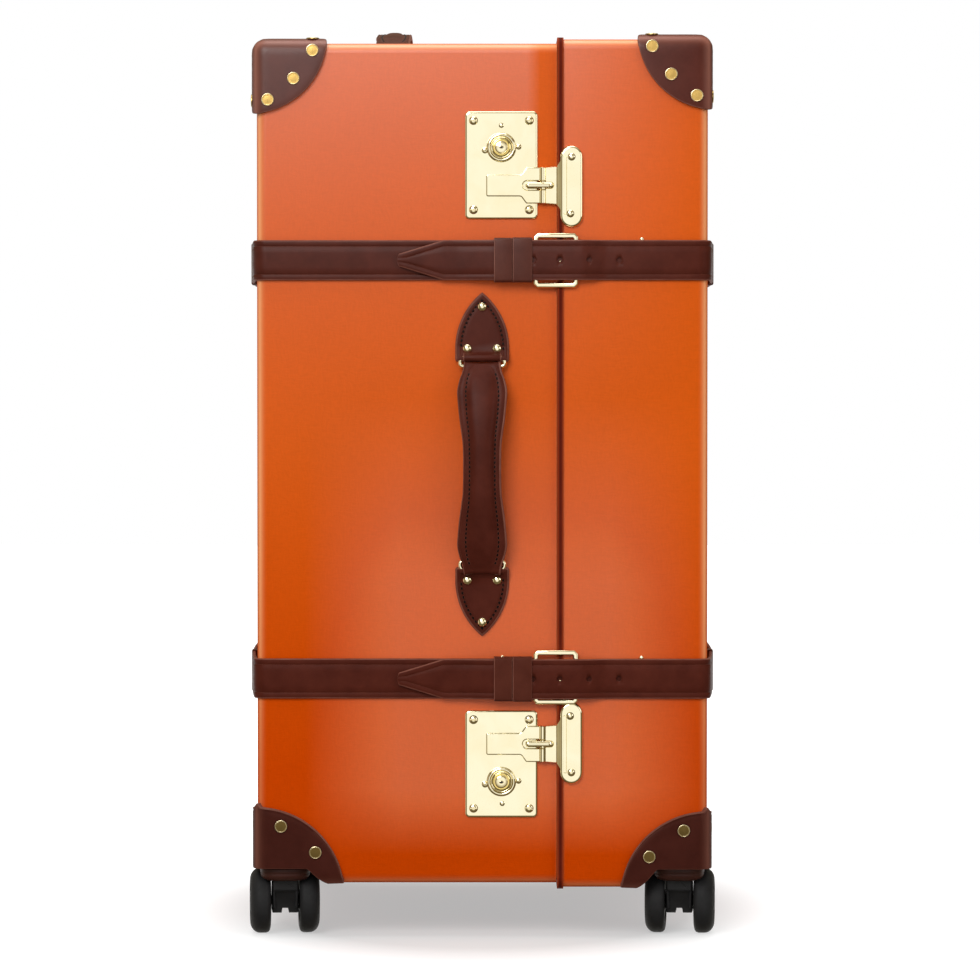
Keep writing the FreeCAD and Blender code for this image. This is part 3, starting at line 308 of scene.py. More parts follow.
def boardMaterial(name):
    # sealed orange vulcanised fibre with painted light: painted shade deeper near the floor, a painted sheen near the
    # top, a painted rim highlight where it turns away
    # low and high are painted shade and painted light for the foot and top of the trunk, rim is a painted highlight,
    # worn is wear that also stands in for an edge highlight
    board = {"low": (0.560, 0.055, 0.0006), "high": (0.680, 0.100, 0.005), "rim": (0.95, 0.37, 0.15),
             "worn": (0.82, 0.24, 0.08)}
    material, g, shader = startMaterial(name, IOR=1.5, Specular_IOR_Level=0.0, Coat_Roughness=0.42, Coat_IOR=1.8)
    grain = g.use("fibreGrain", Scale=330.0, Crinkle=0.7)
    paintedLight = g.use("paintedHeightLight", Low=0.15, High=0.8)
    # painted sheen: the coat grows near the top and on the lit patch, and is cut back at the joint as painted shade
    haze = g.times((paintedLight, "Haze"), (paintedLight, "Clear"))
    g.feed(shader, "Coat Weight", g.math("ADD", haze, g.times((paintedLight, "Patch"), 0.62), True))
    # painted light: the colour rises from low to high up the trunk and on the lit patch
    paintedLightMix = g.math("MAXIMUM", g.ramp((paintedLight, "Share"), 0.0, 0.45), g.times((paintedLight, "Patch"), 1.25))
    mottle = g.math("ADD", g.times((grain, "Cloud"), 0.5), g.times((grain, "Tone"), 0.5), True)
    shaded = g.scaled(g.mix(paintedLightMix, board["low"], board["high"]), g.ramp(mottle, 0.0, 1.0, 0.93, 1.07))
    # painted highlight: rounded edges turn towards the rim colour, more so higher up
    rounded = g.use("roundness", Full=0.24)
    rimHighlightShare = g.times((rounded, "Mask"), g.ramp((paintedLight, "Share"), 0.0, 0.3, 0.35, 1.0))
    # pale along sharp edges: wear, and a painted edge highlight
    wear = g.use("edgeWear", Width=0.003, Amount=0.4, Break=0.5)
    color = g.mix((wear, "Mask"), g.mix(rimHighlightShare, shaded, board["rim"]), board["worn"])
    endMaterial(g, shader, color, g.ramp((grain, "Tone"), 0.0, 1.0, 0.36, 0.46), (grain, "Height"), 0.3, 0.0004)
    return material


def bindingMaterial(name):
    # lacquered edge binding, darkest along its crown
    binding = {"crownX": 0.0702, "dark": (0.085, 0.0075, 0.003), "light": (0.12, 0.011, 0.004),
               "flank": (0.38, 0.056, 0.014)}
    material, g, shader = startMaterial(name, IOR=1.5, Specular_IOR_Level=0.03, Roughness=0.45)
    away = g.math("ABSOLUTE", g.minus(g.axes(g.place())[0], binding["crownX"]))
    skin = g.use("leatherGrain", Scale=1500.0, Creases=0.2)
    crown = g.mix((skin, "Tone"), binding["dark"], binding["light"])
    color = g.mix(g.ramp(away, 0.0008, 0.0032), crown, binding["flank"])
    endMaterial(g, shader, color, None, (skin, "Height"), 0.15, 0.00006)
    return material


def clothMaterial(name, dark, light, threads=2600.0):
    material, g, shader = startMaterial(name, Sheen_Weight=0.25, Sheen_Roughness=0.5)
    cloth = g.use("weave", Threads=threads)
    gloss = g.ramp((cloth, "Height"), -0.5, 1.5, 0.95, 0.8)
    endMaterial(g, shader, g.mix((cloth, "Tone"), dark, light), gloss, (cloth, "Height"), 0.5, 0.0002)
    return material


def woodMaterial(name, dark=(0.30, 0.15, 0.06), light=(0.55, 0.34, 0.17)):
    material, g, shader = startMaterial(name, IOR=1.5)
    rings = g.noise(g.vector("MULTIPLY", g.place(), (70.0, 70.0, 6.0)), Scale=1.0, Detail=6.0, Distortion=0.8)
    color = g.mix(g.ramp(rings, 0.3, 0.7), dark, light)
    endMaterial(g, shader, color, g.ramp(rings, 0.3, 0.7, 0.4, 0.55), rings, 0.25, 0.0003)
    return material


mats = {
    "board": boardMaterial("orangeBoard"),
    "strap": leatherMaterial("strapLeather", (0.062, 0.0105, 0.0052), (0.088, 0.0168, 0.0092),
                             (0.17, 0.055, 0.035), 0.42, 1300.0, 0.22, 0.3),
    "strapEdge": leatherMaterial("strapEdge", (0.15, 0.046, 0.030), (0.22, 0.082, 0.056),
                                 (0.32, 0.14, 0.10), 0.5, 1800.0, 0.4),
    # the caps get painted light towards the top (1.7) and a painted rim highlight on their rounded sides (0.8)
    "cap": leatherMaterial("capLeather", (0.044, 0.0082, 0.0046), (0.060, 0.0125, 0.0076),
                           (0.17, 0.065, 0.045), 0.4, 1100.0, 0.25, 0.4, 1.7, 0.8),
    "capEdge": leatherMaterial("capEdge", (0.13, 0.042, 0.028), (0.2, 0.08, 0.058),
                               (0.3, 0.14, 0.11), 0.5, 1800.0, 0.4),
    "keeper": leatherMaterial("keeperLeather", (0.072, 0.0155, 0.0085), (0.098, 0.0235, 0.0135),
                              (0.2, 0.08, 0.055), 0.42, 1300.0, 0.22, 0.45),
    "gilt": metalMaterial("paleGilt", (0.985, 0.915, 0.66), (0.955, 0.87, 0.59), (0.58, 0.38, 0.07),
                          0.05, 0.12, 0.03),
    "oldBrass": metalMaterial("rivetBrass", (0.60, 0.39, 0.115), (0.48, 0.31, 0.09), (0.80, 0.60, 0.26),
                              0.24, 0.4, 0.12, 0.22),
    # painted highlight: the rivets' rolled rims are a paler, brighter brass that stands in for the light along them
    "rivetRimHighlight": metalMaterial("rivetRimHighlight", (0.92, 0.78, 0.46), (0.84, 0.68, 0.36), (0.95, 0.85, 0.6),
                              0.3, 0.45, 0.08, 0.7),
    "steel": metalMaterial("lockSteel", (0.55, 0.55, 0.54), (0.42, 0.42, 0.42), (0.66, 0.66, 0.65), 0.25, 0.45),
    "thread": leatherMaterial("thread", (0.006, 0.002, 0.0015), (0.012, 0.004, 0.003),
                              (0.02, 0.008, 0.006), 0.6, 2600.0, 0.4),
    "brownPlastic": plasticMaterial("mouldedBrown", (0.060, 0.017, 0.011), (0.042, 0.011, 0.007), 0.42),
    "blackPlastic": plasticMaterial("blackNylon", (0.016, 0.016, 0.017), (0.010, 0.010, 0.011), 0.48),
    "tyre": plasticMaterial("wheelRubber", (0.019, 0.019, 0.020), (0.012, 0.012, 0.013), 0.62, 1800.0, 0.3),
    "binding": bindingMaterial("bindingBrown"),
    "lining": clothMaterial("liningCloth", (0.30, 0.22, 0.14), (0.42, 0.32, 0.21)),
    "pocket": clothMaterial("pocketCloth", (0.30, 0.12, 0.05), (0.42, 0.18, 0.08)),
    "wood": woodMaterial("lipWood"),
}
say("materials")


# Camera, light and floor

camera = {"place": (7.0, -3725.0, 488.0), "tilt": 1.385, "lens": 143.2, "sensor": 36.0}
lamps = {
    # name: place, aim, width, height, power in watts
    "keyLeft": ((-1.1, -3.3, 2.3), (0, 0, 0.5), 1.8, 1.8, 75.0),
    "fillRight": ((2.6, -2.0, 1.2), (0, 0, 0.4), 1.6, 1.6, 12.0),
    "backSoft": ((0.4, 2.8, 2.4), (0, 0, 0.4), 2.0, 1.6, 45.0),
    "overhead": ((0.0, -0.2, 3.0), (0, 0, 0.4), 1.6, 1.6, 26.0),
}


def makeObject(name, data):
    thing = bpy.data.objects.new(name, data)
    bpy.context.scene.collection.objects.link(thing)
    return thing


def makeCamera():
    data = bpy.data.cameras.new("camera")
    data.lens, data.sensor_width = camera["lens"], camera["sensor"]
    thing = makeObject("camera", data)
    thing.location = [c * mm for c in camera["place"]]
    thing.rotation_euler = (math.radians(90 - camera["tilt"]), 0, 0)
    bpy.context.scene.camera = thing
    bpy.context.scene.view_settings.view_transform = "Standard"


def makeLamps():
    for name, (place, aim, width, height, power) in lamps.items():
        data = bpy.data.lights.new(name, "AREA")
        data.shape = "RECTANGLE"
        data.size, data.size_y, data.energy = width, height, power
        lamp = makeObject(name, data)
        lamp.location = place
        lamp.rotation_mode = "QUATERNION"
        lamp.rotation_quaternion = (Vector(aim) - Vector(place)).to_track_quat("-Z", "Y")
        lamp.visible_glossy = name != "backSoft"


def makeWorld():
    # white where the camera sees it; a soft studio with darker flanks for everything else
    world = bpy.data.worlds.new("studio")
    world.use_nodes = True
    bpy.context.scene.world = world
    world.node_tree.nodes.clear()
    g = Graph(world.node_tree)
    x, y, z = g.axes(g.place("Generated"))
    ahead = g.ramp(y, -0.955, -0.82, 0.91, 0.0)
    behind = g.times(g.ramp(y, 0.15, 0.7, 0.0, 0.9), g.ramp(z, 0.02, 0.14, 1.0, 0.1))
    above = g.ramp(z, 0.5, 0.9, 0.0, 0.6)
    left = g.ramp(x, -0.98, -0.75, 0.45, 0.0)
    glossy = g.plus(g.plus(g.plus(ahead, behind), g.plus(above, left)), 0.14)
    tint = g.mix(glossy, (1.0, 0.76, 0.32), (1.0, 0.99, 0.97))
    path, _ = g.add("LightPath", 0, {})
    soft, mirror, white = [g.add("Background", 0, {"Color": color, "Strength": strength}) for color, strength in
                           (((1.0, 0.985, 0.96), 0.46), (tint, glossy), ((1.0, 1.0, 1.0), 1.0))]
    unseen = g.add("MixShader", 0, {0: (path, "Is Glossy Ray"), 1: soft, 2: mirror})
    seen = g.add("MixShader", 0, {0: (path, "Is Camera Ray"), 1: unseen, 2: white})
    g.add("OutputWorld", 0, {"Surface": seen})


def makeFloor():
    # pale floor that the camera sees as white, with the trunk's shadow
    size = 9.0
    mesh = bpy.data.meshes.new("floor")
    mesh.from_pydata([(-size, -size, 0), (size, -size, 0), (size, size, 0), (-size, size, 0)], [], [(0, 1, 2, 3)])
    floor = makeObject("floor", mesh)
    material, g, shader = startMaterial("paleFloor", Base_Color=(0.4, 0.4, 0.4), Roughness=0.8)
    away = g.add("VectorMath", "Value", {0: g.vector("MULTIPLY", g.place(), (3.7, 2.6, 1.0))}, operation="LENGTH")
    glow = g.add("Emission", 0, {"Strength": g.ramp(away, 0.75, 1.25, 0.44, 1.0)})
    dark = g.add("Emission", 0, {"Strength": 0.0})
    seen = g.add("MixShader", 0, {0: g.add("LightPath", "Is Camera Ray", {}), 1: dark, 2: glow})
    both = g.add("AddShader", 0, {0: (shader, "BSDF"), 1: seen})
    g.feed(g.tree.nodes["Material Output"], "Surface", both)
    mesh.materials.append(material)
    floor.visible_glossy = False


makeCamera()
makeLamps()
makeWorld()
makeFloor()
say("camera, light and floor")


# Mesh helpers, all in millimetres until the piece is made

def smoothStep(x, low, high):
    t = min(1.0, max(0.0, (x - low) / (high - low)))
    return t * t * (3 - 2 * t)


def circle(steps):
    return [2 * math.pi * k / steps for k in range(steps)]


def frameFor(axis):
    # an axis and two directions square to it
    axis = Vector(axis).normalized()
    helper = Vector((0, 0, 1)) if abs(axis.z) < 0.9 else Vector((1, 0, 0))
    first = helper.cross(axis).normalized()
    return axis, first, axis.cross(first)


def skin(rings, closedRing=True, closedEnds=False, capped=True, kinds=None):
    # faces between rings of equal length; kinds gives the material of each strip round the ring
    count, total = len(rings[0]), len(rings)
    verts = [v for ring in rings for v in ring]
    faces, marks = [], []
    for i in range(total if closedEnds else total - 1):
        a, b = i * count, ((i + 1) % total) * count
        for j in range(count if closedRing else count - 1):
            k = (j + 1) % count
            faces.append((a + j, a + k, b + k, b + j))
            marks.append(kinds[j] if kinds else 0)
    if capped and not closedEnds:
        faces.append(tuple(range(count))[::-1])
        faces.append(tuple((total - 1) * count + j for j in range(count)))
        marks += [kinds[0] if kinds else 0] * 2
    return verts, faces, marks


class Build:
    # collects the verts, faces and material numbers of one piece
    def __init__(self):
        self.verts, self.faces, self.kinds = [], [], []

    def add(self, verts, faces, kind=0):
        start = len(self.verts)
        self.verts += [tuple(v) for v in verts]
        self.faces += [tuple(start + i for i in face) for face in faces]
        self.kinds += [kind] * len(faces) if isinstance(kind, int) else kind

    def skin(self, rings, kind=0, closedEnds=False):
        self.add(*skin(rings, closedEnds=closedEnds)[:2], kind)

    def turn(self, profile, centre, axis, steps=32, kind=0, marked=(), move=lambda v: v):
        # a profile of (radius, height) turned about an axis; marked strips have the second material
        axis, first, second = frameFor(axis)
        rings = []
        for angle in circle(steps):
            out = first * math.cos(angle) + second * math.sin(angle)
            rings.append([Vector(centre) + out * r + axis * h for r, h in profile])
        verts, faces, _ = skin(rings, closedRing=False, closedEnds=True)
        strips = len(profile) - 1
        self.add([move(v) for v in verts], faces, [1 if i % strips in marked else kind for i in range(len(faces))])

    def piece(self, name, materials, sharp=38.0):
        mesh = bpy.data.meshes.new(name)
        mesh.from_pydata([tuple(c * mm for c in v) for v in self.verts], [], self.faces)
        for material in materials:
            mesh.materials.append(mats[material])
        mesh.polygons.foreach_set("material_index", self.kinds)
        mesh.validate()
        tidy = bmesh.new()
        tidy.from_mesh(mesh)
        bmesh.ops.remove_doubles(tidy, verts=tidy.verts, dist=0.00001)
        bmesh.ops.recalc_face_normals(tidy, faces=tidy.faces)
        tidy.to_mesh(mesh)
        tidy.free()
        mesh.shade_smooth()
        mesh.set_sharp_from_angle(angle=math.radians(sharp))
        return makeObject(name, mesh)


def cutAway(piece, cutter, sharp=None):
    cut = piece.modifiers.new("cut", "BOOLEAN")
    cut.operation, cut.solver, cut.object = "DIFFERENCE", "EXACT", cutter
    graph = bpy.context.evaluated_depsgraph_get()
    mesh = bpy.data.meshes.new_from_object(piece.evaluated_get(graph))
    piece.modifiers.clear()
    old, piece.data = piece.data, mesh
    bpy.data.meshes.remove(old)
    bpy.data.objects.remove(cutter)
    if sharp:
        mesh.set_sharp_from_angle(angle=math.radians(sharp))


def dress(piece, body, replaced):
    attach(piece, body)
    if replaced:
        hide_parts(*replaced)


def addStitches(build, points, outs, length, width, lean, height=0.6, kind=2):
    # short raised thread ends along a line of points
    swell = ((-0.5, 0.35), (-0.32, 0.9), (0.0, 1.0), (0.32, 0.9), (0.5, 0.35))
    for i, (point, out) in enumerate(zip(points, outs)):
        along = (points[min(i + 1, len(points) - 1)] - points[max(i - 1, 0)]).normalized()
        side = along.cross(out).normalized()
        along = (along + side * lean).normalized()
        side = along.cross(out).normalized()
        build.skin([[point + along * (t * length) + side * (math.cos(a) * width / 2 * k)
                     + out * (math.sin(a) * height * k) for a in circle(6)] for t, k in swell], kind)


# Corner caps

caps = {
    "thick": 4.5, "topRadius": 69.5, "topShift": 6.0, "bottomRadius": 78.5, "bottomDrop": 9.5, "flare": 3.5,
    "recessTop": 62.5, "recessFlat": 45.5, "recessRun": 18.4,
    "steps": [0, 1.2, 2.6, 4.2, 6, 8, 10.5, 13.5, 17, 22, 28, 34, 40, 45],
    "topShares": [0.0, 0.05, 0.11, 0.17, 0.23, 0.30, 0.38, 0.47, 0.57, 0.67, 0.77, 0.86, 0.93, 0.975, 0.99],
    "bottomShares": [0.0, 0.012, 0.04, 0.1, 0.18, 0.28, 0.4, 0.52, 0.64, 0.76, 0.86, 0.93, 0.955, 0.975, 0.99, 1.0],
    "groove": 0.955,
    "rivetsTop": [(50.5, 7.0), (33.5, 32.0), (10.5, 51.0)], "rivetsBottom": [(21.5, 52.0), (52.5, 28.5)],
    "rivetRadius": 5.8, "rivetFront": 1.35, "rivetSide": 0.6,
    # shares of the radius and height: a flat hammered face inside a low rolled rim
    "rivet": [(0, 0.9), (0.45, 0.86), (0.76, 0.78), (0.83, 0.8), (0.88, 1.0), (0.94, 0.92), (0.99, 0.55)],
}
quarter = caps["steps"] + [90 - a for a in caps["steps"][-2::-1]]


def onRoundedCase(point, case, height):
    # moves a point of the sharp box that stands height proud onto the rounded box
    r = trunk["edgeRound"]
    inner = (trunk["sideX"] - r, case["half"] - r, case["top"] - r, case["bottom"] + r)
    core = Vector((max(-inner[0], min(inner[0], point.x)), max(-inner[1], min(inner[1], point.y)),
                   max(inner[3], min(inner[2], point.z))))
    return core + (point - core).normalized() * (r + height)


def topCap(case, front):
    # three quarter discs round one top corner, as rings about the corner
    side, t = case["side"], caps["thick"]
    corner = Vector((side * (trunk["sideX"] + t), front * (case["half"] + t), case["top"] + t))
    across, along, down = Vector((-side, 0, 0)), Vector((0, -front, 0)), Vector((0, 0, -1))
    rays = []
    for first, second in ((across, down), (down, along), (along, across)):
        for angle in quarter[:-1]:
            a = math.radians(angle)
            rays.append((first * math.cos(a) + second * math.sin(a), a))
    shift = caps["topShift"] - t
    rows = []
    for share, height in [(s, t) for s in caps["topShares"]] + [(1.0, t - 0.55), (1.0, 0.05), (0.8, 0.05)]:
        ring = []
        if height == t:
            height = t - 0.35 * smoothStep(share, 0.96, 1.0)  # rounded over at the cut edge
        for ray, a in rays:
            # measured from the grown corner to the arc
            reach = shift * (math.cos(a) + math.sin(a))
            limit = -reach + math.sqrt(reach * reach + caps["topRadius"] ** 2 - 2 * shift * shift)
            ring.append(onRoundedCase(corner + ray * (limit * share), case, height))
        rows.append(ring)
    verts, faces, _ = skin(rows, capped=False)
    edge = len(caps["topShares"])
    return verts, faces, [1 if edge - 2 < i // len(rays) < edge + 2 else 0 for i in range(len(faces))]


def bottomReach(angle, case):
    # nearest and farthest distance of a bottom cap along a ray that leaves the pole at this angle
    a, t = math.radians(angle), caps["thick"]
    low = caps["bottomDrop"] - t
    far = t * math.cos(a) + math.sqrt(caps["bottomRadius"] ** 2 - (t * math.sin(a)) ** 2)
    far += caps["flare"] * smoothStep(a, math.radians(84), math.radians(90))
    lip = caps["recessTop"] - case["bottom"] + caps["bottomDrop"]
    flat = caps["recessFlat"] + t
    near = lip / max(math.sin(a), 0.01)
    if near * math.cos(a) > flat:
        slope = (lip - low) / caps["recessRun"]
        near = (lip + slope * flat) / (math.sin(a) + slope * math.cos(a))
    return max(near, (low + 0.2) / max(math.sin(a), 0.01)), far


def bottomCap(case, front):
    # two quarter discs round one upright edge, cut away over the castor
    side, t = case["side"], caps["thick"]
    pole = Vector((side * (trunk["sideX"] + t), front * (case["half"] + t), case["bottom"] - caps["bottomDrop"]))
    start = 5.0
    while bottomReach(start, case)[0] > bottomReach(start, case)[1] - 2.5:
        start += 0.15
    angles = [start + (90 - start) * k / 34 for k in range(34)] + [90 - a for a in (8, 6, 4.2, 2.6, 1.2)]
    angles = sorted(set(round(a, 2) for a in angles))
    rays = [(Vector((-side, 0, 0)), a) for a in angles] + [(Vector((0, -front, 0)), a) for a in [90] + angles[::-1]]
    shares = caps["bottomShares"]
    rings = []
    for direction, angle in rays:
        near, far = bottomReach(angle, case)
        a = math.radians(angle)
        outer, inner = [], []
        for share in shares:
            point = pole + (direction * math.cos(a) + Vector(toTop) * math.sin(a)) * (near + (far - near) * share)
            rim = 0.5 * (1 - smoothStep(share, 0.0, 0.02)) + 0.5 * smoothStep(share, 0.985, 1.0)
            rim += 0.4 * (1 - min(1.0, abs(share - caps["groove"]) / 0.022))
            outer.append(onRoundedCase(point, case, t - rim))
            inner.append(onRoundedCase(point, case, 0.05))
        rings.append(outer + inner[::-1])
    last = len(shares) * 2 - 1
    return skin(rings, kinds=[1 if len(shares) - 4 < j < len(shares) or j == last else 0 for j in range(last + 1)])


def makeCaps():
    t, flush = caps["thick"], caps["rivetSide"]
    for label, case in cases.items():
        side, x, y = case["side"], trunk["sideX"], case["half"]
        cap, rivets = Build(), Build()
        for front in (-1, 1):
            cap.add(*topCap(case, front))
            cap.add(*bottomCap(case, front))
            spots = []
            for across, fall in caps["rivetsTop"]:
                z = case["top"] - fall
                spots += [((side * (x - across), front * (y + t), z), (0, front, 0), caps["rivetFront"]),
                          ((side * (x + t), front * (y - across), z), (side, 0, 0), flush),
                          ((side * (x - across), front * (y - fall), case["top"] + t), toTop, flush)]
            for across, fall in caps["rivetsBottom"]:
                z = case["bottom"] + fall
                spots += [((side * (x - across), front * (y + t), z), (0, front, 0), caps["rivetFront"]),
                          ((side * (x + t), front * (y - across), z), (side, 0, 0), flush)]
            for place, out, height in spots:
                r = caps["rivetRadius"]
                profile = [(a * r, b * height) for a, b in caps["rivet"]] + [(r, 0.2), (r, -0.4), (0, -0.4)]
                # the rim strips take the rim metal, a painted highlight
                rivets.turn(profile, place, out, 28, marked=(3, 4, 5))
        dress(cap.piece("cornerCaps_" + label, ["cap", "capEdge"]), label, ["corner_caps_" + label])
        dress(rivets.piece("cornerRivets_" + label, ["oldBrass", "rivetRimHighlight"]), label, ["corner_rivets_" + label])


makeCaps()
say("corner caps")


# Straps

straps = {
    "half": 18.0, "thick": 3.0, "gap": 0.3, "bulge": 10.0, "crease": 5.4, "grooveHalf": 0.8, "grooveDepth": 0.5,
    "crown": 0.25, "tip": -76.0, "shoulder": -34.5, "nose": 6.0, "noseRun": 2.5, "loopY": -115.0,
    "holes": [45.7, 69.5, 95.9, 122.7], "holeRadius": 2.4, "tongueHole": 69.5, "buckleX": 46.0, "frontY": -226.8,
}


def bow(case):
    # radius of the bowed strap along one long side
    reach = case["half"] - trunk["edgeRound"]
    return (reach ** 2 + straps["bulge"] ** 2) / (2 * straps["bulge"])


def arcPoints(centre, radius, start, end, step):
    count = max(2, int(abs(end - start) * math.pi / 180 * radius / step))
    angles = [math.radians(start + (end - start) * k / count) for k in range(count + 1)]
    return [(Vector((centre[0] + radius * math.cos(a), centre[1] + radius * math.sin(a), 0)),
             Vector((math.cos(a), math.sin(a), 0))) for a in angles]


def sidePath(case, yFrom, yTo):
    # middle line of the bowed strap on one long side
    side, big, count = case["side"], bow(case), 48
    base = trunk["sideX"] + straps["gap"] + straps["thick"] / 2
    line = []
    for k in range(count + 1):
        y = yFrom + (yTo - yFrom) * k / count
        x = math.sqrt(big * big - y * y) - (big - straps["bulge"])
        line.append((Vector((side * (base + x), y, 0)), Vector((side * math.sqrt(1 - (y / big) ** 2), y / big, 0))))
    return line


def straightPath(x0, x1, yOf, out, step=4.0):
    # run along X at y = yOf(x), with the outward direction square to it
    count = max(1, int(abs(x1 - x0) / step))
    line = []
    for k in range(count + 1):
        x = x0 + (x1 - x0) * k / count
        slope = yOf(x + 0.5) - yOf(x - 0.5)
        line.append((Vector((x, yOf(x), 0)), Vector((-slope, 1, 0)).normalized() * out))
    return line


def ribbonRing(point, out, level, half, wave):
    # cross-section of a bridle-leather strap: round edges, a crease inside each edge, a slight crown
    t = straps["thick"] / 2
    scale = min(1.0, half / (straps["crease"] + 2.5))
    deep = straps["grooveDepth"] * smoothStep(half, straps["crease"] - 1.0, straps["crease"] + 3.0)
    wide = straps["grooveHalf"] * scale
    inner = max(0.02, half - straps["crease"] * scale)
    top = [(half, t - 1.0), (half - 0.35 * scale, t - 0.35), (half - 1.1 * scale, t),
           (min(half - 1.2 * scale, inner + wide), t), (inner, t - deep), (max(0.01, inner - wide), t + 0.04),
           (inner * 0.5, t + straps["crown"] * 0.8)]
    top = top + [(0.0, t + straps["crown"])] + [(-a, h) for a, h in reversed(top)]
    under = [(-half, -t + 0.8), (-half + 0.7 * scale, -t), (0.0, -t), (half - 0.7 * scale, -t), (half, -t + 0.8)]
    return [point + Vector((0, 0, level + a)) + out * (h + wave) for a, h in top + under]


def ribbonPiece(name, line, level, halfAt):
    rings = []
    for point, out in line:
        wave = 0.12 * noise.noise(Vector((point.x * 0.03, point.y * 0.03, level)))
        rings.append(ribbonRing(point, out, level, halfAt(point), wave))
    build, count = Build(), len(rings[0])
    build.add(*skin(rings, kinds=[1 if j < 2 or 11 < j < 15 or j > count - 3 else 0 for j in range(count)]))
    return build.piece(name, ["strap", "strapEdge"], 40.0)


def frontRun(x):
    # Y of the billet's middle plane: high over the buckle, low at its tip, on the lid at its root
    root, high, low = -230.3, -236.1, -231.0
    left = low + (high - low) * smoothStep(x, -24.0, 14.0)
    return left + (root - high) * smoothStep(x, 88.0, 112.0)


def backRun(x):
    # Y of the strap's middle plane at the back, over the binding
    onBase, over, onLid = 226.8, 232.3, 230.3
    rise = onBase + (over - onBase) * smoothStep(x, 52.0, 64.5)
    return rise + (onLid - over) * smoothStep(x, 76.0, 88.0)


def billetHalf(point):
    x, half = point.x, straps["half"]
    if point.y > -200 or x > straps["shoulder"]:
        return half
    neck = straps["tip"] + straps["noseRun"]
    if x > neck:
        return straps["nose"] + (half - straps["nose"]) * (x - neck) / (straps["shoulder"] - neck)
    share = (x - straps["tip"]) / straps["noseRun"]
    return max(0.6, straps["nose"] * math.sqrt(max(0.0, 1 - (1 - share) ** 2)))


def punch(piece, places, radius):
    # cuts round holes through a piece, from front to back
    axis, first, second = frameFor(toBack)
    for place in places:
        build = Build()
        build.skin([[Vector(place) + axis * h + (first * math.cos(a) + second * math.sin(a)) * radius
                     for a in circle(24)] for h in (-12.0, 12.0)])
        cutAway(piece, build.piece("cutter", ["strapEdge"]))


def makeHoleShadeDiscs(name, level):
    # dark discs set in the punched holes as painted shade, and the tongue's tip low in one of them
    radius = straps["holeRadius"] + 0.4
    for body, places in {"billet_" + name: straps["holes"][:3], "lid": straps["holes"][3:]}.items():
        build = Build()
        for x in places:
            y = frontRun(x) - 0.3
            build.turn([(0, 0), (radius, 0), (radius, -0.9), (0, -0.9)], (x, y, level), toFront, 24)
            if x == straps["tongueHole"]:
                tip = (x + 0.2, y, level - 1.25)
                build.turn([(0, 0.95), (0.5, 0.8), (0.85, 0.4), (0.95, 0)], tip, toFront, 16, 1)
        dress(build.piece("holeShadeDiscs_" + name + "_" + body, ["cap", "gilt"]), body, [])


def makeStraps():
    base, lid = cases["base"], cases["lid"]
    r = trunk["edgeRound"] + straps["gap"] + straps["thick"] / 2
    flat = trunk["sideX"] - trunk["edgeRound"]
    baseY, lidY = base["half"] - trunk["edgeRound"], lid["half"] - trunk["edgeRound"]
    loopY, tip = straps["loopY"], straps["tip"]
    for name, level in trunk["strapLevels"].items():
        # from the buckle round the left side, over the back and round the right side to its loop
        line = straightPath(straps["buckleX"], -flat, lambda x: straps["frontY"], -1)[:-1]
        line += arcPoints((-flat, -baseY), r, 270, 180, 1.2)[:-1]
        line += sidePath(base, -baseY, baseY)[:-1]
        line += arcPoints((-flat, baseY), r, 180, 90, 1.2)[:-1]
        for x0, x1, step in ((-flat, 50.0, 5.0), (50.0, 90.0, 1.2), (90.0, flat, 5.0)):
            line += straightPath(x0, x1, backRun, 1, step)[:-1]
        line += arcPoints((flat, lidY), r, 90, 0, 1.2)[:-1]
        line += sidePath(lid, lidY, loopY)
        long = ribbonPiece("strapLong_" + name, line, level, lambda p: straps["half"])
        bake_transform(long)
        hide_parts("strap_" + name + "_base")
        # from the loop on the right side to the billet's tip
        line = sidePath(lid, loopY - 0.2, -lidY)[:-1]
        line += arcPoints((flat, -lidY), r, 0, -90, 1.2)[:-1]
        line += straightPath(flat, tip + 4.0, frontRun, -1, 2.2)[:-1]
        line += straightPath(tip + 4.0, tip, frontRun, -1, 0.25)
        short = ribbonPiece("strapBillet_" + name, line, level, billetHalf)
        punch(short, [(x, frontRun(x), level) for x in straps["holes"]], straps["holeRadius"])
        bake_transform(short)
        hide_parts("billet_" + name, "strap_" + name + "_lid")
        makeHoleShadeDiscs(name, level)


makeStraps()
say("straps")


# Plates, worked from closed outlines

def offsetLoop(loop, inset):
    # moves a closed outline inward, square to its edges
    area = sum(a[0] * b[1] - b[0] * a[1] for a, b in zip(loop, loop[1:] + loop[:1]))
    turn = 1 if area > 0 else -1
    moved = []
    for i, here in enumerate(loop):
        before, after = loop[i - 1], loop[(i + 1) % len(loop)]
        first = Vector((here[0] - before[0], here[1] - before[1])).normalized()
        second = Vector((after[0] - here[0], after[1] - here[1])).normalized()
        n1, n2 = [Vector((-edge.y, edge.x)) * turn for edge in (first, second)]
        share = inset / max(0.3, 1 + n1.dot(n2))
        moved.append((here[0] + (n1.x + n2.x) * share, here[1] + (n1.y + n2.y) * share))
    return moved


def roundedLoop(corners, radii, steps=6):
    loop = []
    for i, corner in enumerate(corners):
        radius = radii[i] if isinstance(radii, list) else radii
        here = Vector(corner)
        if radius <= 0:
            loop.append(tuple(here))
            continue
        back = (Vector(corners[i - 1]) - here).normalized()
        ahead = (Vector(corners[(i + 1) % len(corners)]) - here).normalized()
        half = back.angle(ahead) / 2
        centre = here + (back + ahead).normalized() * (radius / math.sin(half))
        start, end = [(here + way * (radius / math.tan(half)) - centre).normalized() for way in (back, ahead)]
        loop += [tuple(centre + start.slerp(end, k / steps) * radius) for k in range(steps + 1)]
    return loop


def boxLoop(x0, x1, z0, z1, radii, steps=6):
    return roundedLoop([(x0, z0), (x1, z0), (x1, z1), (x0, z1)], radii, steps)


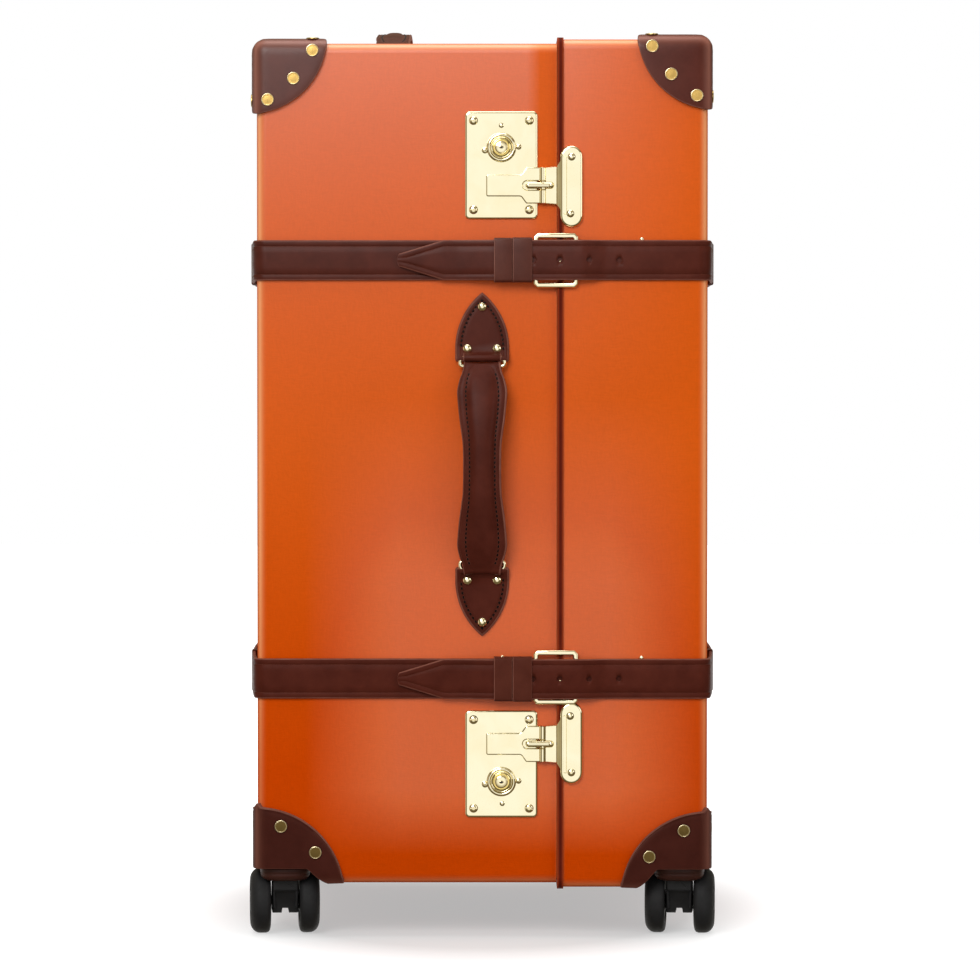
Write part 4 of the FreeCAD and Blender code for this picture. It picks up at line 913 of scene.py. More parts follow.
def ovalLoop(x, z, halfX, halfZ, steps=12):
    # a stadium, longer along z
    angles = [math.pi * k / steps for k in range(steps + 1)]
    return [(x + end * halfX * math.cos(a), z + end * (halfZ - halfX + halfX * math.sin(a)))
            for end in (1, -1) for a in angles]


def addPlate(build, loop, profile, lift, kinds=None):
    # profile rows are (inset, height); kinds gives a material for each step between rows
    rings = [[Vector(lift(a, b, h)) for a, b in offsetLoop(loop, inset)] for inset, h in profile]
    kinds = kinds or [0] * (len(profile) - 1)
    build.skin(rings, [kind for kind in kinds for _ in loop] + [kinds[0], kinds[-1]])


def onFront(y):
    return lambda x, z, h: (x, y - h, z)


# Locks, hasps and catches

fittings = {
    "lockX": 17.2, "half": (32.6, 48.2), "plateY": -227.2, "keyOffset": 15.8, "haspOffset": -18.2,
    "plate": [(0, 0), (0, 1.1), (0.3, 1.55), (1.0, 1.95), (1.9, 2.2), (2.2, 2.2)],
    "collar": [(9.45, 0), (9.45, 1.9), (10.5, 2.9), (11.2, 3.05), (12.2, 2.75), (12.9, 2.0), (13.3, 1.0), (13.3, 0)],
    "knob": [(0, 0.1), (9.25, 0.1), (9.25, 3.6), (8.9, 3.9), (8.5, 3.8), (5.95, 0.6), (5.6, 0.6), (5.6, 4.4),
             (5.3, 5.1), (4.7, 5.4), (0, 5.4)],
    "keyhole": [(0, 0), (0, 0.2), (0.15, 0.3), (0.45, 0.3), (0.5, 0.12), (0.6, 0.08)],
    "ears": [(-14.6, -2.4, 3.0), (15.5, 0.6, 2.6)],
    "hasp": [(3.6, -9.8), (34.8, -9.8), (39.4, -16.2), (53.6, -16.2), (53.6, -3.95), (36.5, -3.95), (36.5, 3.95),
             (53.6, 3.95), (53.6, 16.2), (39.4, 16.2), (34.8, 9.8), (3.6, 9.8)],
    "haspRound": [1.7, 3.0, 2.0, 0, 0, 3.85, 3.85, 0, 0, 2.0, 3.0, 1.7],
    "haspPlate": [(0, 0), (0, 0.95), (0.3, 1.5), (0.9, 1.8), (1.2, 1.8)],
    "barrel": (54.3, -228.5, 2.9),
    "bracket": [(56.9, -229.45, 16.2), (66.6, -229.5, 17.0), (67.2, -230.7, 18.0), (69.4, -231.3, 21.4),
                (71.4, -231.9, 25.0), (73.6, -232.5, 26.0), (75.5, -232.6, 26.0)],
    "oval": (80.0, 0.9, 10.2, 36.6),
    "ovalPlate": [(0, 0), (0, 1.9), (0.4, 2.9), (1.2, 3.5), (2.1, 3.8), (2.4, 3.8)],
    "finger": [(0.5, 0), (0.1, 0.5), (0, 1.0), (0.25, 1.8), (0.9, 2.6), (1.7, 3.0), (2.4, 3.1)],
}
screws = {
    "head": [(0, 1.7), (1.4, 1.62), (2.5, 1.32), (3.3, 0.85), (3.8, 0.3), (4.0, 0), (0, -0.3)],
    "rivet": [(0, 1.5), (1.3, 1.4), (2.4, 1.0), (3.1, 0.5), (3.5, 0), (0, -0.3)],
    "dot": [(0, 1.9), (1.0, 1.75), (1.8, 1.2), (2.3, 0.4), (2.4, 0), (0, -0.3)],
    "plateSpots": (25.0, 39.9), "plateSize": 4.0, "rivets": [(80.0, 25.4), (78.9, -25.4)],
    "hingeLevels": (706.0, 421.5, 137.0), "hingeRise": 19.0, "hingeSize": 3.4,
}


def addBarrel(build, low, high, centreZ):
    x, y, radius = fittings["barrel"]
    small = radius - 0.5
    profile = [(0, low), (small, low), (radius, low + 0.45), (radius, high - 0.45), (small, high), (0, high)]
    build.turn(profile, (x, y, centreZ), toTop, 28)


def makeLocks():
    f = fittings
    x, y, (w, h) = f["lockX"], f["plateY"], f["half"]
    plates, collars = Build(), Build()
    for name, (level, up) in trunk["locks"].items():
        keyZ = level + up * f["keyOffset"]
        addPlate(plates, boxLoop(x - w, x + w, level - h, level + h, 4.0, 8), f["plate"], onFront(-225.0))
        spot = (x + (0 if up > 0 else 0.8), y, level + up * 35.6)
        plates.turn([(0, 0.7), (0.9, 0.62), (1.7, 0.35), (2.3, 0)], spot, toFront, 20)
        collars.turn(f["collar"], (x, y, keyZ), toFront, 64)
        for across, rise, r in f["ears"]:
            ear = (x + across, y, keyZ + rise)
            collars.turn([(0, 2.1), (r - 1.1, 2.05), (r - 0.4, 1.6), (r, 0.8), (r, 0)], ear, toFront, 24)
            collars.turn([(0, 2.6), (0.5, 2.5), (0.95, 2.0)], ear, toFront, 14)
        # the keyhole's dark bottom shows inside a proud oval lip
        knob = Build()
        knob.turn(f["knob"], (x, y, keyZ), toFront, 64)
        oval = [(x + 2.1 * math.cos(a), keyZ + 1.35 * math.sin(a)) for a in circle(24)]
        addPlate(knob, oval, f["keyhole"], onFront(y - 5.35), [0, 0, 0, 1, 1])
        dress(knob.piece("keyKnob_" + name, ["gilt", "blackPlastic"]), "key_cylinder_" + name,
              ["key_cylinder_" + name])
    dress(plates.piece("lockPlates", ["gilt"]), "base", ["lock_plates"])
    dress(collars.piece("lockCollars", ["gilt"]), "base", ["lock_collars"])


def makeHasps():
    f = fittings
    barrelX = f["barrel"][0]
    catch = Build()
    for name, (level, up) in trunk["locks"].items():
        z = level + up * f["haspOffset"]
        flap = Build()
        loop = roundedLoop([(x, z + side) for x, side in f["hasp"]], f["haspRound"])
        addPlate(flap, loop, f["haspPlate"], onFront(-227.6))
        addBarrel(flap, 4.05, 16.2, z)
        addBarrel(flap, -16.2, -4.05, z)
        dress(flap.piece("haspFlap_" + name, ["gilt"]), "hasp_" + name, ["hasp_" + name])
        x, lift, halfX, halfZ = f["oval"]
        addPlate(catch, ovalLoop(x, z - up * lift, halfX, halfZ), f["ovalPlate"], onFront(-228.5))
        rings = []
        for x, y, half in f["bracket"]:
            rings.append([Vector((x, y + d, z + s)) for s, d in
                          [(half, 1.2), (half, 0.5), (half - 0.5, 0), (0, 0), (0.5 - half, 0), (-half, 0.5),
                           (-half, 1.2), (0.6 - half, 1.75), (0, 1.75), (half - 0.6, 1.75)]])
        catch.skin(rings)
        addBarrel(catch, -3.75, 3.75, z)
        addPlate(catch, boxLoop(barrelX, 59.0, z - 3.0, z + 3.0, 0.3, 2), [(0, 0), (0, 1.7)], onFront(-227.7))
        addPlate(catch, boxLoop(38.8, 64.2, z - 2.9, z + 2.9, 2.85, 8), f["finger"], onFront(-228.7))
        catch.turn([(0, 0.9), (0.9, 0.75), (1.6, 0.4), (2.0, 0)], (61.6, -231.75, z), toFront, 18)
    dress(catch.piece("catchPlates", ["gilt"]), "lid", ["catch_plates"])


def makeScrews():
    heads, slots = [{"base": Build(), "lid": Build()} for _ in range(2)]

    def screw(label, place, out, size, turn):
        scale = size / 4.0
        heads[label].turn([(r * scale, h * scale) for r, h in screws["head"]], place, out, 28)
        axis, first, second = frameFor(out)
        along = first * math.cos(turn) + second * math.sin(turn)
        side = axis.cross(along)
        slots[label].skin([[Vector(place) + along * (a * size * 1.2) + side * (b * size * 0.13) + axis * h
                            for a, b in ((-1, -1), (1, -1), (1, 1), (-1, 1))] for h in (0.75 * scale, 3.0)])

    wide, tall = screws["plateSpots"]
    for level, up in trunk["locks"].values():
        for x in (fittings["lockX"] - wide, fittings["lockX"] + wide):
            for z in (level - tall, level + tall):
                screw("base", (x, fittings["plateY"], z), toFront, screws["plateSize"], draw.uniform(-0.25, 0.2))
        for x, rise in screws["rivets"]:
            place = (x, -232.3, level + up * (fittings["haspOffset"] + rise))
            heads["lid"].turn(screws["rivet"], place, toFront, 26)
    for centre in screws["hingeLevels"]:
        for z in (centre - screws["hingeRise"], centre + screws["hingeRise"]):
            screw("base", (47.1, 226.6, z), toBack, screws["hingeSize"], draw.uniform(-0.6, 0.6))
            screw("lid", (87.1, 230.1, z), toBack, screws["hingeSize"], draw.uniform(-0.6, 0.6))
    dots = {"base": [(18.0, -225.0, trunk["strapLevels"]["lower"] + 18.9)],
            "lid": [(143.0, -228.5, level + 18.7) for level in trunk["strapLevels"].values()]}
    for label, places in dots.items():
        for place in places:
            heads[label].turn(screws["dot"], place, toFront, 20)
        piece = heads[label].piece("screws_" + label, ["gilt"])
        cutAway(piece, slots[label].piece("cutter", ["gilt"]), 38)
        dress(piece, label, [label + "_screws"])


makeLocks()
makeHasps()
makeScrews()
say("locks")


# Keepers, buckles and side loops

buckles = {
    "keeperEdges": [(10.6, 26.7), (27.3, 44.7)], "keeperOuter": -239.15, "keeperInner": -237.7, "keeperEnd": -234.7,
    "frameLevels": {"upper": 609.1, "lower": 235.3}, "frame": (45.9, 86.1, 24.5), "corner": 3.2, "frameY": -230.8,
    "section": [(0, 0.8), (0.08, 1.6), (0.45, 2.2), (0.95, 2.5), (3.5, 2.5), (4.1, 2.15), (4.5, 1.5), (4.6, 0.8),
                (4.2, 0.15), (2.4, 0), (0.4, 0.15)],
    "loopMiddles": (-115.0, 115.0), "loopWidth": 19.0,
}


def makeKeepers():
    outer, inner, end = buckles["keeperOuter"], buckles["keeperInner"], buckles["keeperEnd"]
    for name, level in trunk["strapLevels"].items():
        build = Build()
        for i, (x0, x1) in enumerate(buckles["keeperEdges"]):
            reach = 19.8 + 0.35 * i
            front = [(z, outer - 0.3 * (1 - (z / reach) ** 2)) for z in (-11.0, -5.0, 0.0, 5.0, 11.0)]
            points = [(-reach, end), (-reach, outer)] + front + [(reach, outer), (reach, end)]
            points += [(18.4, end), (18.4, inner), (-18.4, inner), (-18.4, end)]
            loop = roundedLoop(points, [0, 2.6] + [0] * len(front) + [2.6, 0, 0, 0.9, 0.9, 0], 5)
            profile = [(0.5, x0), (0.12, x0 + 0.15), (0, x0 + 0.7), (0, (x0 + x1) / 2), (0, x1 - 0.6),
                       (0.12, x1 - 0.15), (0.45, x1)]
            addPlate(build, loop, profile, lambda z, y, x: (x, y, level + z), [1, 1, 0, 0, 0, 1])
        dress(build.piece("keeperBands_" + name, ["keeper", "strapEdge"]), "billet_" + name, ["keepers_" + name])


def makeBuckles():
    frames = Build()
    left, right, half = buckles["frame"]
    cut = buckles["corner"]
    corners = [(left + cut, -half), (right - cut, -half), (right, cut - half), (right, half - cut),
               (right - cut, half), (left + cut, half), (left, half - cut), (left, cut - half)]
    for level in buckles["frameLevels"].values():
        loop = [(x, level + z) for x, z in corners]
        frames.skin([[Vector((x, buckles["frameY"] - h, z)) for x, z in offsetLoop(loop, inset)]
                     for inset, h in buckles["section"]], closedEnds=True)
    dress(frames.piece("buckleFrames", ["gilt"]), "base", ["buckle_frames"])


def makeLoops():
    # slim loops that hug the bowed strap on each side
    for label, case in cases.items():
        side, big, wide = case["side"], bow(case), buckles["loopWidth"]
        build = Build()
        for level in trunk["strapLevels"].values():
            for middle in buckles["loopMiddles"]:
                rings = []
                for k in range(9):
                    y = middle - wide / 2 + wide * k / 8
                    wall = trunk["sideX"] - (0.35 if k in (0, 8) else 0)
                    far = straps["gap"] + math.sqrt(big * big - y * y) - (big - straps["bulge"]) + 3.15
                    edge = [(0, -20.0), (1.0, -19.7), (1.4, -19.1), (far - 1.2, -19.1), (far, -18.7),
                            (far + 0.5, -17.8)]
                    outer = edge + [(far + 0.55, 0)] + [(a, -b) for a, b in reversed(edge)]
                    inner = [(0, 18.4), (far - 0.6, 18.3), (far, 17.4), (far, -17.4), (far - 0.6, -18.3), (0, -18.4)]
                    rings.append([Vector((side * (wall + a), y, level + b)) for a, b in outer + inner])
                build.skin(rings)
        dress(build.piece("strapLoops_" + label, ["strap"]), label, ["strap_loops_" + label])


makeKeepers()
makeBuckles()
makeLoops()
say("keepers and buckles")


# Handles, in (x across, u along, n above the wall)

handles = {
    "front": lambda x, u, n: Vector((x, -225.0 - n, 423.0 + u)),
    "top": lambda x, u, n: Vector((x - 82.9, u - 4.0, 804.0 + n)),
}
ends = {1: {"pivot": 99.5, "end": 95.4}, -1: {"pivot": -83.5, "end": -88.7}}
chape = {
    "half": 24.2, "shoulder": 12.0, "bend": (18.3, 39.0), "length": 62.3,
    "profile": [(0, 0), (0, 1.7), (0.35, 2.25), (1.7, 2.75), (2.1, 2.95), (2.5, 3.05), (4.5, 3.05), (4.9, 2.8),
                (5.3, 2.7), (5.7, 2.8), (6.1, 3.05), (9.0, 3.2)],
    "kinds": [1, 1, 1, 0, 0, 0, 0, 0, 0, 0, 0],
    "roll": [(-1.2, 2.4), (-3.2, 4.2), (-3.9, 6.4), (-3.6, 8.5), (-2.0, 10.2), (0.0, 10.5), (1.6, 9.6), (2.6, 7.6),
             (3.4, 5.4), (4.2, 4.0), (5.4, 3.0), (3.0, 1.8)],
    "rollEdges": [(0.9, -17.0), (0.3, -16.7), (0, -16.0), (0, 16.0), (0.3, 16.7), (0.9, 17.0)],
    "lip": (3.6, 8.8, 6.5), "studs": [(0.0, 49.5), (-13.4, 11.8), (13.4, 11.8)], "stud": (4.4, 3.0),
    "stitch": 4.1, "seam": 5.3,
}
links = {"front_ring_upper": ("front", 1), "front_ring_lower": ("front", -1),
         "top_ring_back": ("top", 1), "top_ring_front": ("top", -1)}
gripRows = [  # u, n, half width, half thickness, half width of the core, its height in front and behind
    (0.0, 24.8, 17.0, 1.5, 10.2, 6.3, 7.4), (20.0, 24.2, 17.3, 1.5, 10.4, 6.2, 7.2),
    (32.0, 23.2, 18.7, 1.5, 11.1, 6.2, 6.9), (45.0, 21.4, 20.5, 1.5, 12.5, 5.9, 6.3),
    (62.0, 18.4, 22.1, 1.5, 13.6, 5.3, 5.4), (70.0, 16.7, 22.3, 1.5, 13.5, 4.5, 4.4),
    (79.0, 14.3, 20.4, 1.45, 12.4, 3.2, 2.9), (85.5, 12.2, 18.0, 1.3, 10.4, 1.9, 1.6),
    (89.6, 10.7, 17.0, 1.0, 8.5, 1.2, 1.0), (92.4, 9.7, 16.6, 0.85, 6.0, 0.9, 0.9),
    (94.1, 8.2, 16.4, 0.8, 6.0, 0.8, 0.8), (94.4, 6.5, 16.2, 0.8, 6.0, 0.8, 0.8),
    (93.4, 4.9, 16.0, 0.75, 6.0, 0.75, 0.75), (91.5, 4.2, 15.8, 0.7, 6.0, 0.7, 0.7),
    (89.0, 4.6, 15.6, 0.6, 6.0, 0.6, 0.6),
]


def smoothRows(rows, steps):
    # Catmull-Rom through rows of numbers
    line = []
    for i in range(len(rows) - 1):
        a, b, c, d = rows[max(i - 1, 0)], rows[i], rows[i + 1], rows[min(i + 2, len(rows) - 1)]
        for k in range(steps):
            t = k / steps
            line.append(tuple(0.5 * (2 * q + (r - p) * t + (2 * p - 5 * q + 4 * r - s) * t * t
                                     + (3 * q - p - 3 * r + s) * t ** 3) for p, q, r, s in zip(a, b, c, d)))
    return line + [rows[-1]]


def arcThrough(a, b, c, steps):
    # points of the circle through three points, from a to c
    ax, ay, bx, by, cx, cy = *a, *b, *c
    d = 2 * (ax * (by - cy) + bx * (cy - ay) + cx * (ay - by))
    aa, bb, cc = ax ** 2 + ay ** 2, bx ** 2 + by ** 2, cx ** 2 + cy ** 2
    ux = (aa * (by - cy) + bb * (cy - ay) + cc * (ay - by)) / d
    uy = (aa * (cx - bx) + bb * (ax - cx) + cc * (bx - ax)) / d
    start, end = math.atan2(ay - uy, ax - ux), math.atan2(cy - uy, cx - ux)
    radius = math.hypot(ax - ux, ay - uy)
    angles = [start + (end - start) * k / steps for k in range(steps + 1)]
    return [(ux + radius * math.cos(angle), uy + radius * math.sin(angle)) for angle in angles]


def chapeLoop(inset):
    c = chape
    half, low = c["half"], c["shoulder"]
    right = arcThrough((half, low), c["bend"], (0.0, c["length"]), 22)
    corner = roundedLoop([(half, 0.0), (half, low), (-half, low), (-half, 0.0)], [2.4, 0, 0, 2.4], 5)
    loop = corner[:6] + right + [(-x, z) for x, z in right[-2::-1]] + corner[-6:]
    if not inset:
        return loop
    moved = offsetLoop(loop, inset)
    top = max(z for (_, z), (was, _) in zip(moved, loop) if abs(was) < 0.01)
    side = half - inset
    held = []
    for (x, z), (was, _) in zip(moved, loop):
        crossed = abs(was) > 0.01 and (x * was <= 0 or z > top)
        held.append((0.0, top) if crossed else (max(-side, min(side, x)), max(inset, z)))
    return held


def evenly(points, gap):
    # points at equal distances along a line
    line, left = [points[0]], gap
    for a, b in zip(points, points[1:]):
        while (b - a).length > left:
            a = a + (b - a).normalized() * left
            line.append(a)
            left = gap
        left -= (b - a).length
    return line


def makeHandles():
    leather, metal = Build(), Build()
    low, high, rise = chape["lip"]
    radius, tall = chape["stud"]
    dome = [(radius * math.sin(a), tall * math.cos(a) + 0.1) for a in [math.pi / 2 * k / 9 for k in range(10)]]
    for place in handles.values():
        for up, spot in ends.items():
            def lift(x, h, n):
                # the pad's end is turned up over the link's bar
                return place(x, spot["end"] + up * h, n + rise * (1 - smoothStep(h, low, high)) * min(1.0, n / 2.7))

            rings = [[lift(x, h, n) for x, h in chapeLoop(inset)] for inset, n in chape["profile"]]
            leather.skin(rings, [kind for kind in chape["kinds"] for _ in rings[0]] + [1, 0])
            seam = [lift(x, h, 2.85) for x, h in chapeLoop(chape["seam"]) if h > chape["seam"] + 0.1]
            line = evenly(seam, chape["stitch"])
            out = lift(0, 0, 1) - lift(0, 0, 0)
            addStitches(leather, line, [out] * len(line), 2.5, 2.0, 0.15)
            addPlate(leather, chape["roll"], chape["rollEdges"],
                     lambda a, b, h: place(h, spot["pivot"] + up * a, b), [1, 1, 0, 1, 1])
            for x, h in chape["studs"]:
                metal.turn(dome + [(radius, -0.3), (0, -0.3)], lift(x, h, 3.05), out, 32)
    dress(leather.piece("handleChapes", ["strap", "strapEdge", "thread"]), "base", ["handle_chapes"])
    dress(metal.piece("handleStuds", ["gilt"]), "base", ["handle_studs"])


def makeLinks():
    # round wire bent to a closed link, wider at its outer bar
    radius, level = 1.9, 7.0
    for node, (label, up) in links.items():
        place, high = handles[label], ends[up]["pivot"]
        corners = [(-20.0, high), (20.0, high), (20.0, high - 8.0), (-20.0, high - 8.0)]
        loop = roundedLoop(corners, [4.8, 4.8, 2.6, 2.6] if up > 0 else [2.6, 2.6, 4.8, 4.8], 6)
        path, normal = [place(x, u, level) for x, u in loop], place(0, 0, 1) - place(0, 0, 0)
        rings = []
        for i, point in enumerate(path):
            side = (path[(i + 1) % len(path)] - path[i - 1]).normalized().cross(normal)
            rings.append([point + side * (radius * math.cos(a)) + normal * (radius * math.sin(a)) for a in circle(14)])
        build = Build()
        build.skin(rings, closedEnds=True)
        dress(build.piece("link_" + node, ["gilt"]), node, [node])


def gripSection(row):
    # outer face from right to left, then the inner face back
    _, _, half, thick, core, front, back = row
    ridge = min(core + 1.0, half - 2.2)
    marks = [half, half - 0.15, half - 0.75, half - 1.7, half - 2.2, half - 2.7]
    rise = [0, 0.62, 1.0, 1.05, 0.8, 1.02]
    rows = []
    for side, high in ((1, front), (-1, back)):
        face = [(x, thick * r * side) for x, r in zip(marks, rise)]
        face += [(ridge + 0.7, thick * side), (ridge, thick * 0.78 * side), (ridge - 0.7, thick * side)]
        for share in (0.93, 0.8, 0.6, 0.36, 0.12):
            face.append((core * share, side * max(thick, high * math.sqrt(1 - share ** 3 * 0.97))))
        face += [(-x, h) for x, h in reversed(face)]
        rows += face[::side]
    return rows


def makeGrip(label, node, slim=1.0, flat=1.0):
    # slim narrows the pad, flat lowers its stuffed core
    place = handles[label]
    rows = [(u, n, min(w, max(w * slim, 15.9)), t, c * slim, a * flat, b * flat) for u, n, w, t, c, a, b in gripRows]
    half = smoothRows(rows, 5)
    whole = [(-row[0],) + tuple(row[1:]) for row in half[::-1]] + half[1:]
    rings, stitches = [], {-1: [], 1: []}
    for i, row in enumerate(whole):
        u, n, wide, thick, core = row[:5]
        before, after = whole[max(i - 1, 0)], whole[min(i + 1, len(whole) - 1)]
        du, dn = after[0] - before[0], after[1] - before[1]
        length = math.hypot(du, dn)
        out = (-dn / length, du / length)
        wave = 0.22 * noise.noise(Vector((u * 0.06, 3.0, 1.0)))
        dip = 0.9 * smoothStep(abs(u), 84.0, 93.0) * (1 if u > 0 else -1)
        ring = []
        for x, h in gripSection(row):
            shift = dip * ((x / 16.0) ** 2 * 1.6 - 0.8)
            height = h + (wave if abs(x) < core and h > 1.6 else 0)
            ring.append(place(x, u + out[0] * height + shift, n + out[1] * height))
        rings.append(ring)
        if abs(u) < 85.0:
            across, over = min(core + 1.0, wide - 2.2), thick * 0.85
            for side in (-1, 1):
                stitches[side].append((place(side * across, u + out[0] * over, n + out[1] * over),
                                       place(0, out[0], out[1]) - place(0, 0, 0)))
    build, count = Build(), len(rings[0])
    edges = [0, 1, 2, count - 3, count - 2, count - 1] + [count // 2 + k for k in range(-3, 3)]
    build.add(*skin(rings, kinds=[1 if j in edges else 0 for j in range(count)]))
    for line in stitches.values():
        points = evenly([p for p, _ in line], 4.0)
        outs = [min(line, key=lambda item: (item[0] - p).length)[1] for p in points]
        addStitches(build, points, outs, 2.6, 2.1, 0.1)
    piece = build.piece(label + "GripPad", ["strap", "strapEdge", "thread"], 50.0)
    dress(piece, node, [node])


makeHandles()
makeLinks()
makeGrip("front", "front_grip")
makeGrip("top", "top_grip", 0.74, 0.5)
say("handles")


# Castors

castors = {
    "trail": 9.0, "radius": 29.5, "inner": 12.9, "cheek": 11.8,
    "spots": {"front_left": (-179.0, -197.0, 5.0), "front_right": (179.0, -197.0, -5.0),
              "back_left": (-179.0, 197.0, -28.0), "back_right": (179.0, 197.0, 34.0)},
    "fork": [(-11.5, 60.0), (-11.5, 40.2), (-10.6, 38.9), (-9.8, 37.6), (-7.4, 20.5), (-6.2, 19.8), (16.4, 19.8),
             (17.6, 20.9), (21.0, 29.5), (20.6, 33.0), (17.0, 46.0), (11.5, 60.0)],
    "notch": [(-4.2, 14.0), (4.2, 14.0), (2.7, 24.3), (-2.7, 24.3)],
    "apron": [(-11.0, 40.4), (11.0, 40.4), (11.5, 58.0), (-11.5, 58.0)],
    "apronEdge": [(0, 10.9), (0, 12.0), (0.3, 12.5), (0.9, 12.7), (1.3, 12.7)],
    "rib": [(8.4, 24.0), (11.0, 24.0), (11.4, 39.5), (9.4, 39.5)],
    "bearing": [(0, 59.0), (12.2, 59.0), (12.2, 61.4), (11.0, 62.2), (0, 62.2)],
    "stem": [(0, 62.0), (7.4, 62.0), (7.4, 66.0), (0, 66.0)],
    "hood": [(14.6, 61.2), (22.3, 61.4), (23.0, 60.9), (23.0, 57.4), (22.6, 56.7), (22.7, 56.0), (22.2, 53.8),
             (20.9, 51.9), (19.0, 50.7), (16.9, 50.0), (15.4, 50.1), (14.6, 51.0)],
    "wheel": [(0, 0.4), (6.6, 0.4), (7.2, -0.1), (9.0, 0), (9.6, 0.9), (19.4, 1.2), (20.2, 0.2), (24.0, 0),
              (27.0, 0.7), (28.7, 2.0), (29.5, 4.2), (29.5, 9.4), (29.3, 11.4), (28.5, 13.4), (27.0, 15.4),
              (25.2, 16.8), (23.2, 17.8), (21.2, 18.3), (19.9, 18.3), (19.2, 17.6), (18.6, 16.2), (10.4, 15.9),
              (9.8, 16.4), (9.4, 17.7), (8.8, 18.4), (7.4, 18.6), (3.2, 18.6), (2.9, 18.2), (0, 18.2)],
    "spoke": [(9.5, 1.7, 17.4), (10.6, 1.5, 17.4), (17.6, 1.1, 17.2), (19.2, 1.3, 17.3)],
    "axle": [(0, -15.0), (4.4, -15.0), (4.4, 15.0), (0, 15.0)],
}


def makeFork(name, at):
    c = castors
    cheek = c["cheek"]
    build, notch, extra = Build(), Build(), Build()
    profile = [(0.9, -cheek), (0.25, 0.35 - cheek), (0, 1.0 - cheek), (0, cheek - 1.0), (0.25, cheek - 0.35),
               (0.9, cheek)]
    addPlate(build, c["fork"], profile, lambda y, z, x: at @ Vector((x, y, z)))
    piece = build.piece("forkBody", ["blackPlastic"])
    addPlate(notch, roundedLoop(c["notch"], [0, 0, 0.7, 0.7], 4), [(0, -30.0), (0, 40.0)],
             lambda x, z, y: at @ Vector((x, y, z)))
    cutAway(piece, notch.piece("cutter", ["blackPlastic"]), 38)
    extra.turn(c["bearing"], at @ Vector((0, 0, 0)), toTop, 36)
    extra.turn(c["stem"], at @ Vector((0, 0, 0)), toTop, 30)
    addPlate(extra, roundedLoop(c["apron"], 1.0, 4), c["apronEdge"], lambda x, z, h: at @ Vector((x, -h, z)))
    for side in (-1, 1):
        addPlate(extra, roundedLoop([(side * x, z) for x, z in c["rib"]], 0.6, 3), [(0, 0), (0, 1.3), (0.5, 1.8)],
                 lambda x, z, h: at @ Vector((x, -7.4 - (z - 20.5) * 0.14 - h, z)))
    rings = []
    for k in range(-18, 19):
        ring = []
        for r, z in c["hood"]:
            # wide at its top, narrow at its lower lip
            spread = 36.0 + 46.0 * smoothStep(z, 48.5, 54.5)
            a = math.radians(270 + spread * k / 18)
            across = r * math.copysign(abs(math.cos(a)) ** 0.7, math.cos(a))
            ring.append(at @ Vector((across, -1.1 * r * abs(math.sin(a)) ** 0.5, z)))
        rings.append(ring)
    extra.skin(rings, 1)
    whole = extra.piece("castorFork_" + name, ["blackPlastic", "brownPlastic"])
    with bpy.context.temp_override(active_object=whole, selected_editable_objects=[whole, piece]):
        bpy.ops.object.join()
    dress(whole, "castor_" + name, ["castor_fork_" + name])


def makeWheels(name, at):
    c = castors
    build = Build()
    centre = Vector((0, c["trail"], c["radius"]))
    for hand in (-1, 1):
        profile = [(r, c["inner"] + t) for r, t in c["wheel"]]
        hub = [j for j in range(len(profile) - 1) if profile[j][0] < 20.5 and profile[j + 1][0] < 21.5]
        build.turn(profile, (0, 0, 0), (hand, 0, 0), 72, marked=hub, move=lambda v: at @ (centre + v))
        low = hand * (c["inner"] + 15.4)
        for k in range(6):
            a = math.pi * k / 3 + 0.3
            along, side = Vector((0, math.cos(a), math.sin(a))), Vector((0, -math.sin(a), math.cos(a)))
            rings = []
            for r, w, high in c["spoke"]:
                x = hand * (c["inner"] + high)
                ring = [(low, -w), (x - hand * 0.5, -w), (x, -w + 0.4), (x, w - 0.4), (x - hand * 0.5, w), (low, w)]
                rings.append([at @ (centre + along * r + side * b + Vector((t, 0, 0))) for t, b in ring])
            build.skin(rings, 1)
    build.turn(c["axle"], (0, 0, 0), (1, 0, 0), 20, 1, move=lambda v: at @ (centre + v))
    dress(build.piece("twinWheels_" + name, ["tyre", "blackPlastic"]), "wheels_" + name, ["castor_wheels_" + name])


for name, (x, y, yaw) in castors["spots"].items():
    at = Matrix.Translation((x, y, 0)) @ Matrix.Rotation(math.radians(yaw), 4, "Z")
    makeFork(name, at)
    makeWheels(name, at)
say("castors")


# Lid pocket, gathered on its elastic hem

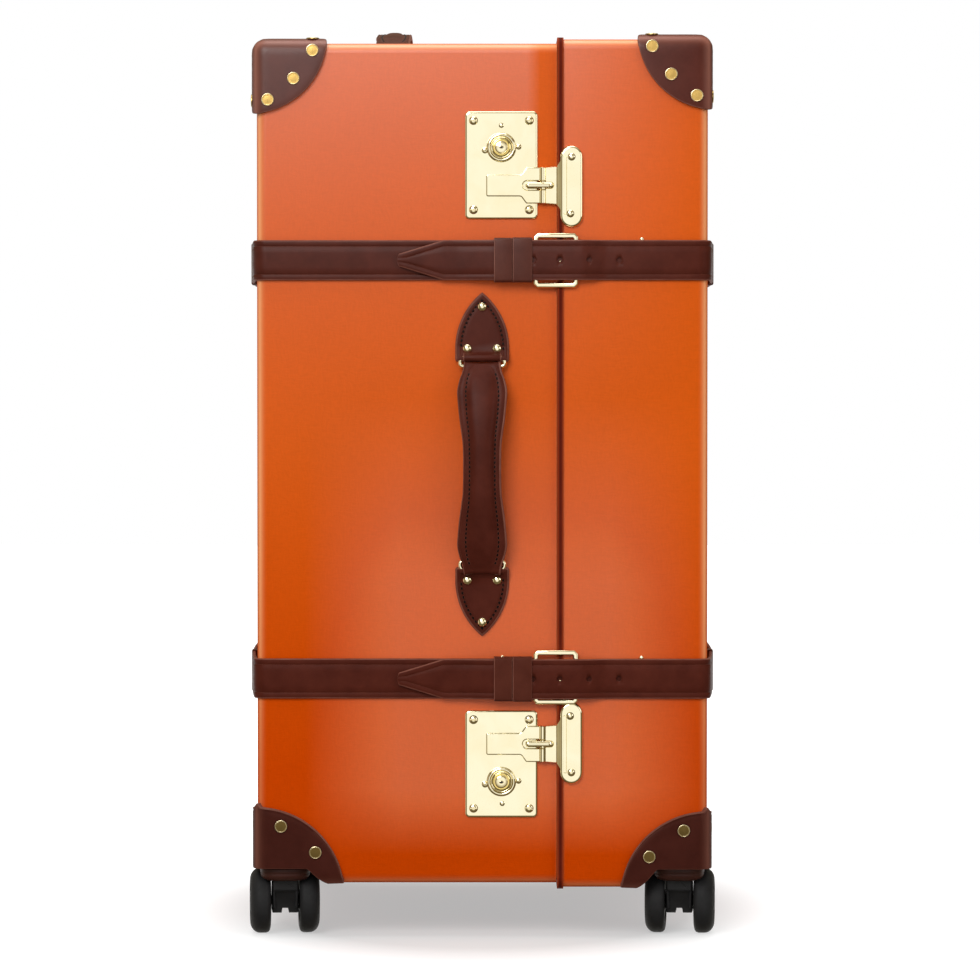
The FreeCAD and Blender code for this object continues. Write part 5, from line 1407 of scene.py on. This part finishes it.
pocket = {"fold": 13.0, "deep": 2.8, "fullness": 1.3, "hem": 9.0, "rows": 30, "thick": 0.9}


def makePocket():
    low, high = [[c / mm for c in corner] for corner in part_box("lid_pocket")]
    wall, depth = high[0] - 0.4, high[0] - low[0]
    count, tall = int((high[1] - low[1]) / 2.0), high[2] - low[2]
    hemZ = high[2] - pocket["hem"]
    rings = []
    for k in range(count + 1):
        y = low[1] + (high[1] - low[1]) * k / count
        phase = 2 * math.pi * (y - low[1]) / pocket["fold"] + 1.6 * noise.noise(Vector((y * 0.02, 0, 0)))
        closed = smoothStep(min(k, count - k), 0, 4)
        ring = []
        for j in range(pocket["rows"] + 1):
            z = low[2] + tall * j / pocket["rows"]
            hem, gather = smoothStep(z, hemZ - 3.0, hemZ), smoothStep(z, low[2], hemZ)
            puff = math.sin(math.pi * min(1.0, (z - low[2]) / tall)) * 0.3
            wave = pocket["deep"] * (0.3 + 0.7 * gather) * (1 - 0.4 * hem) * math.sin(phase)
            out = min(depth - 0.4, (depth * (0.45 + puff) + wave) * closed)
            ring.append(Vector((wall - max(1.4, out), y, z)))
        rings.append(ring + [v + Vector((pocket["thick"], 0, 0)) for v in reversed(ring)])
    build = Build()
    build.skin(rings)
    piece = build.piece("gatheredPocket", ["pocket"], 60.0)
    dress(piece, "lid", ["lid_pocket"])


makePocket()
say("pocket")


# Finishes for the nodes that keep their shape

finishes = {
    "board": ["base_shell", "lid_shell"], "wood": ["base_lip"], "binding": ["lid_binding"],
    "lining": ["base_lining", "lid_lining"], "strap": ["keeper_backs"],
    "brownPlastic": ["castor_housings_base", "castor_housings_lid"],
    "steel": ["lock_cases", "lock_bolt_upper", "lock_bolt_lower"],
    "gilt": ["buckle_tongues", "hinge_leaves_base", "hinge_leaves_lid", "hinge_pins", "garment_rail",
             "rail_brackets"],
}
for finish, names in finishes.items():
    for name in names:
        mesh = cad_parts[name].data
        mesh.materials.clear()
        mesh.materials.append(mats[finish])
        mesh.shade_smooth()
        mesh.set_sharp_from_angle(angle=math.radians(32))
say("nodes")
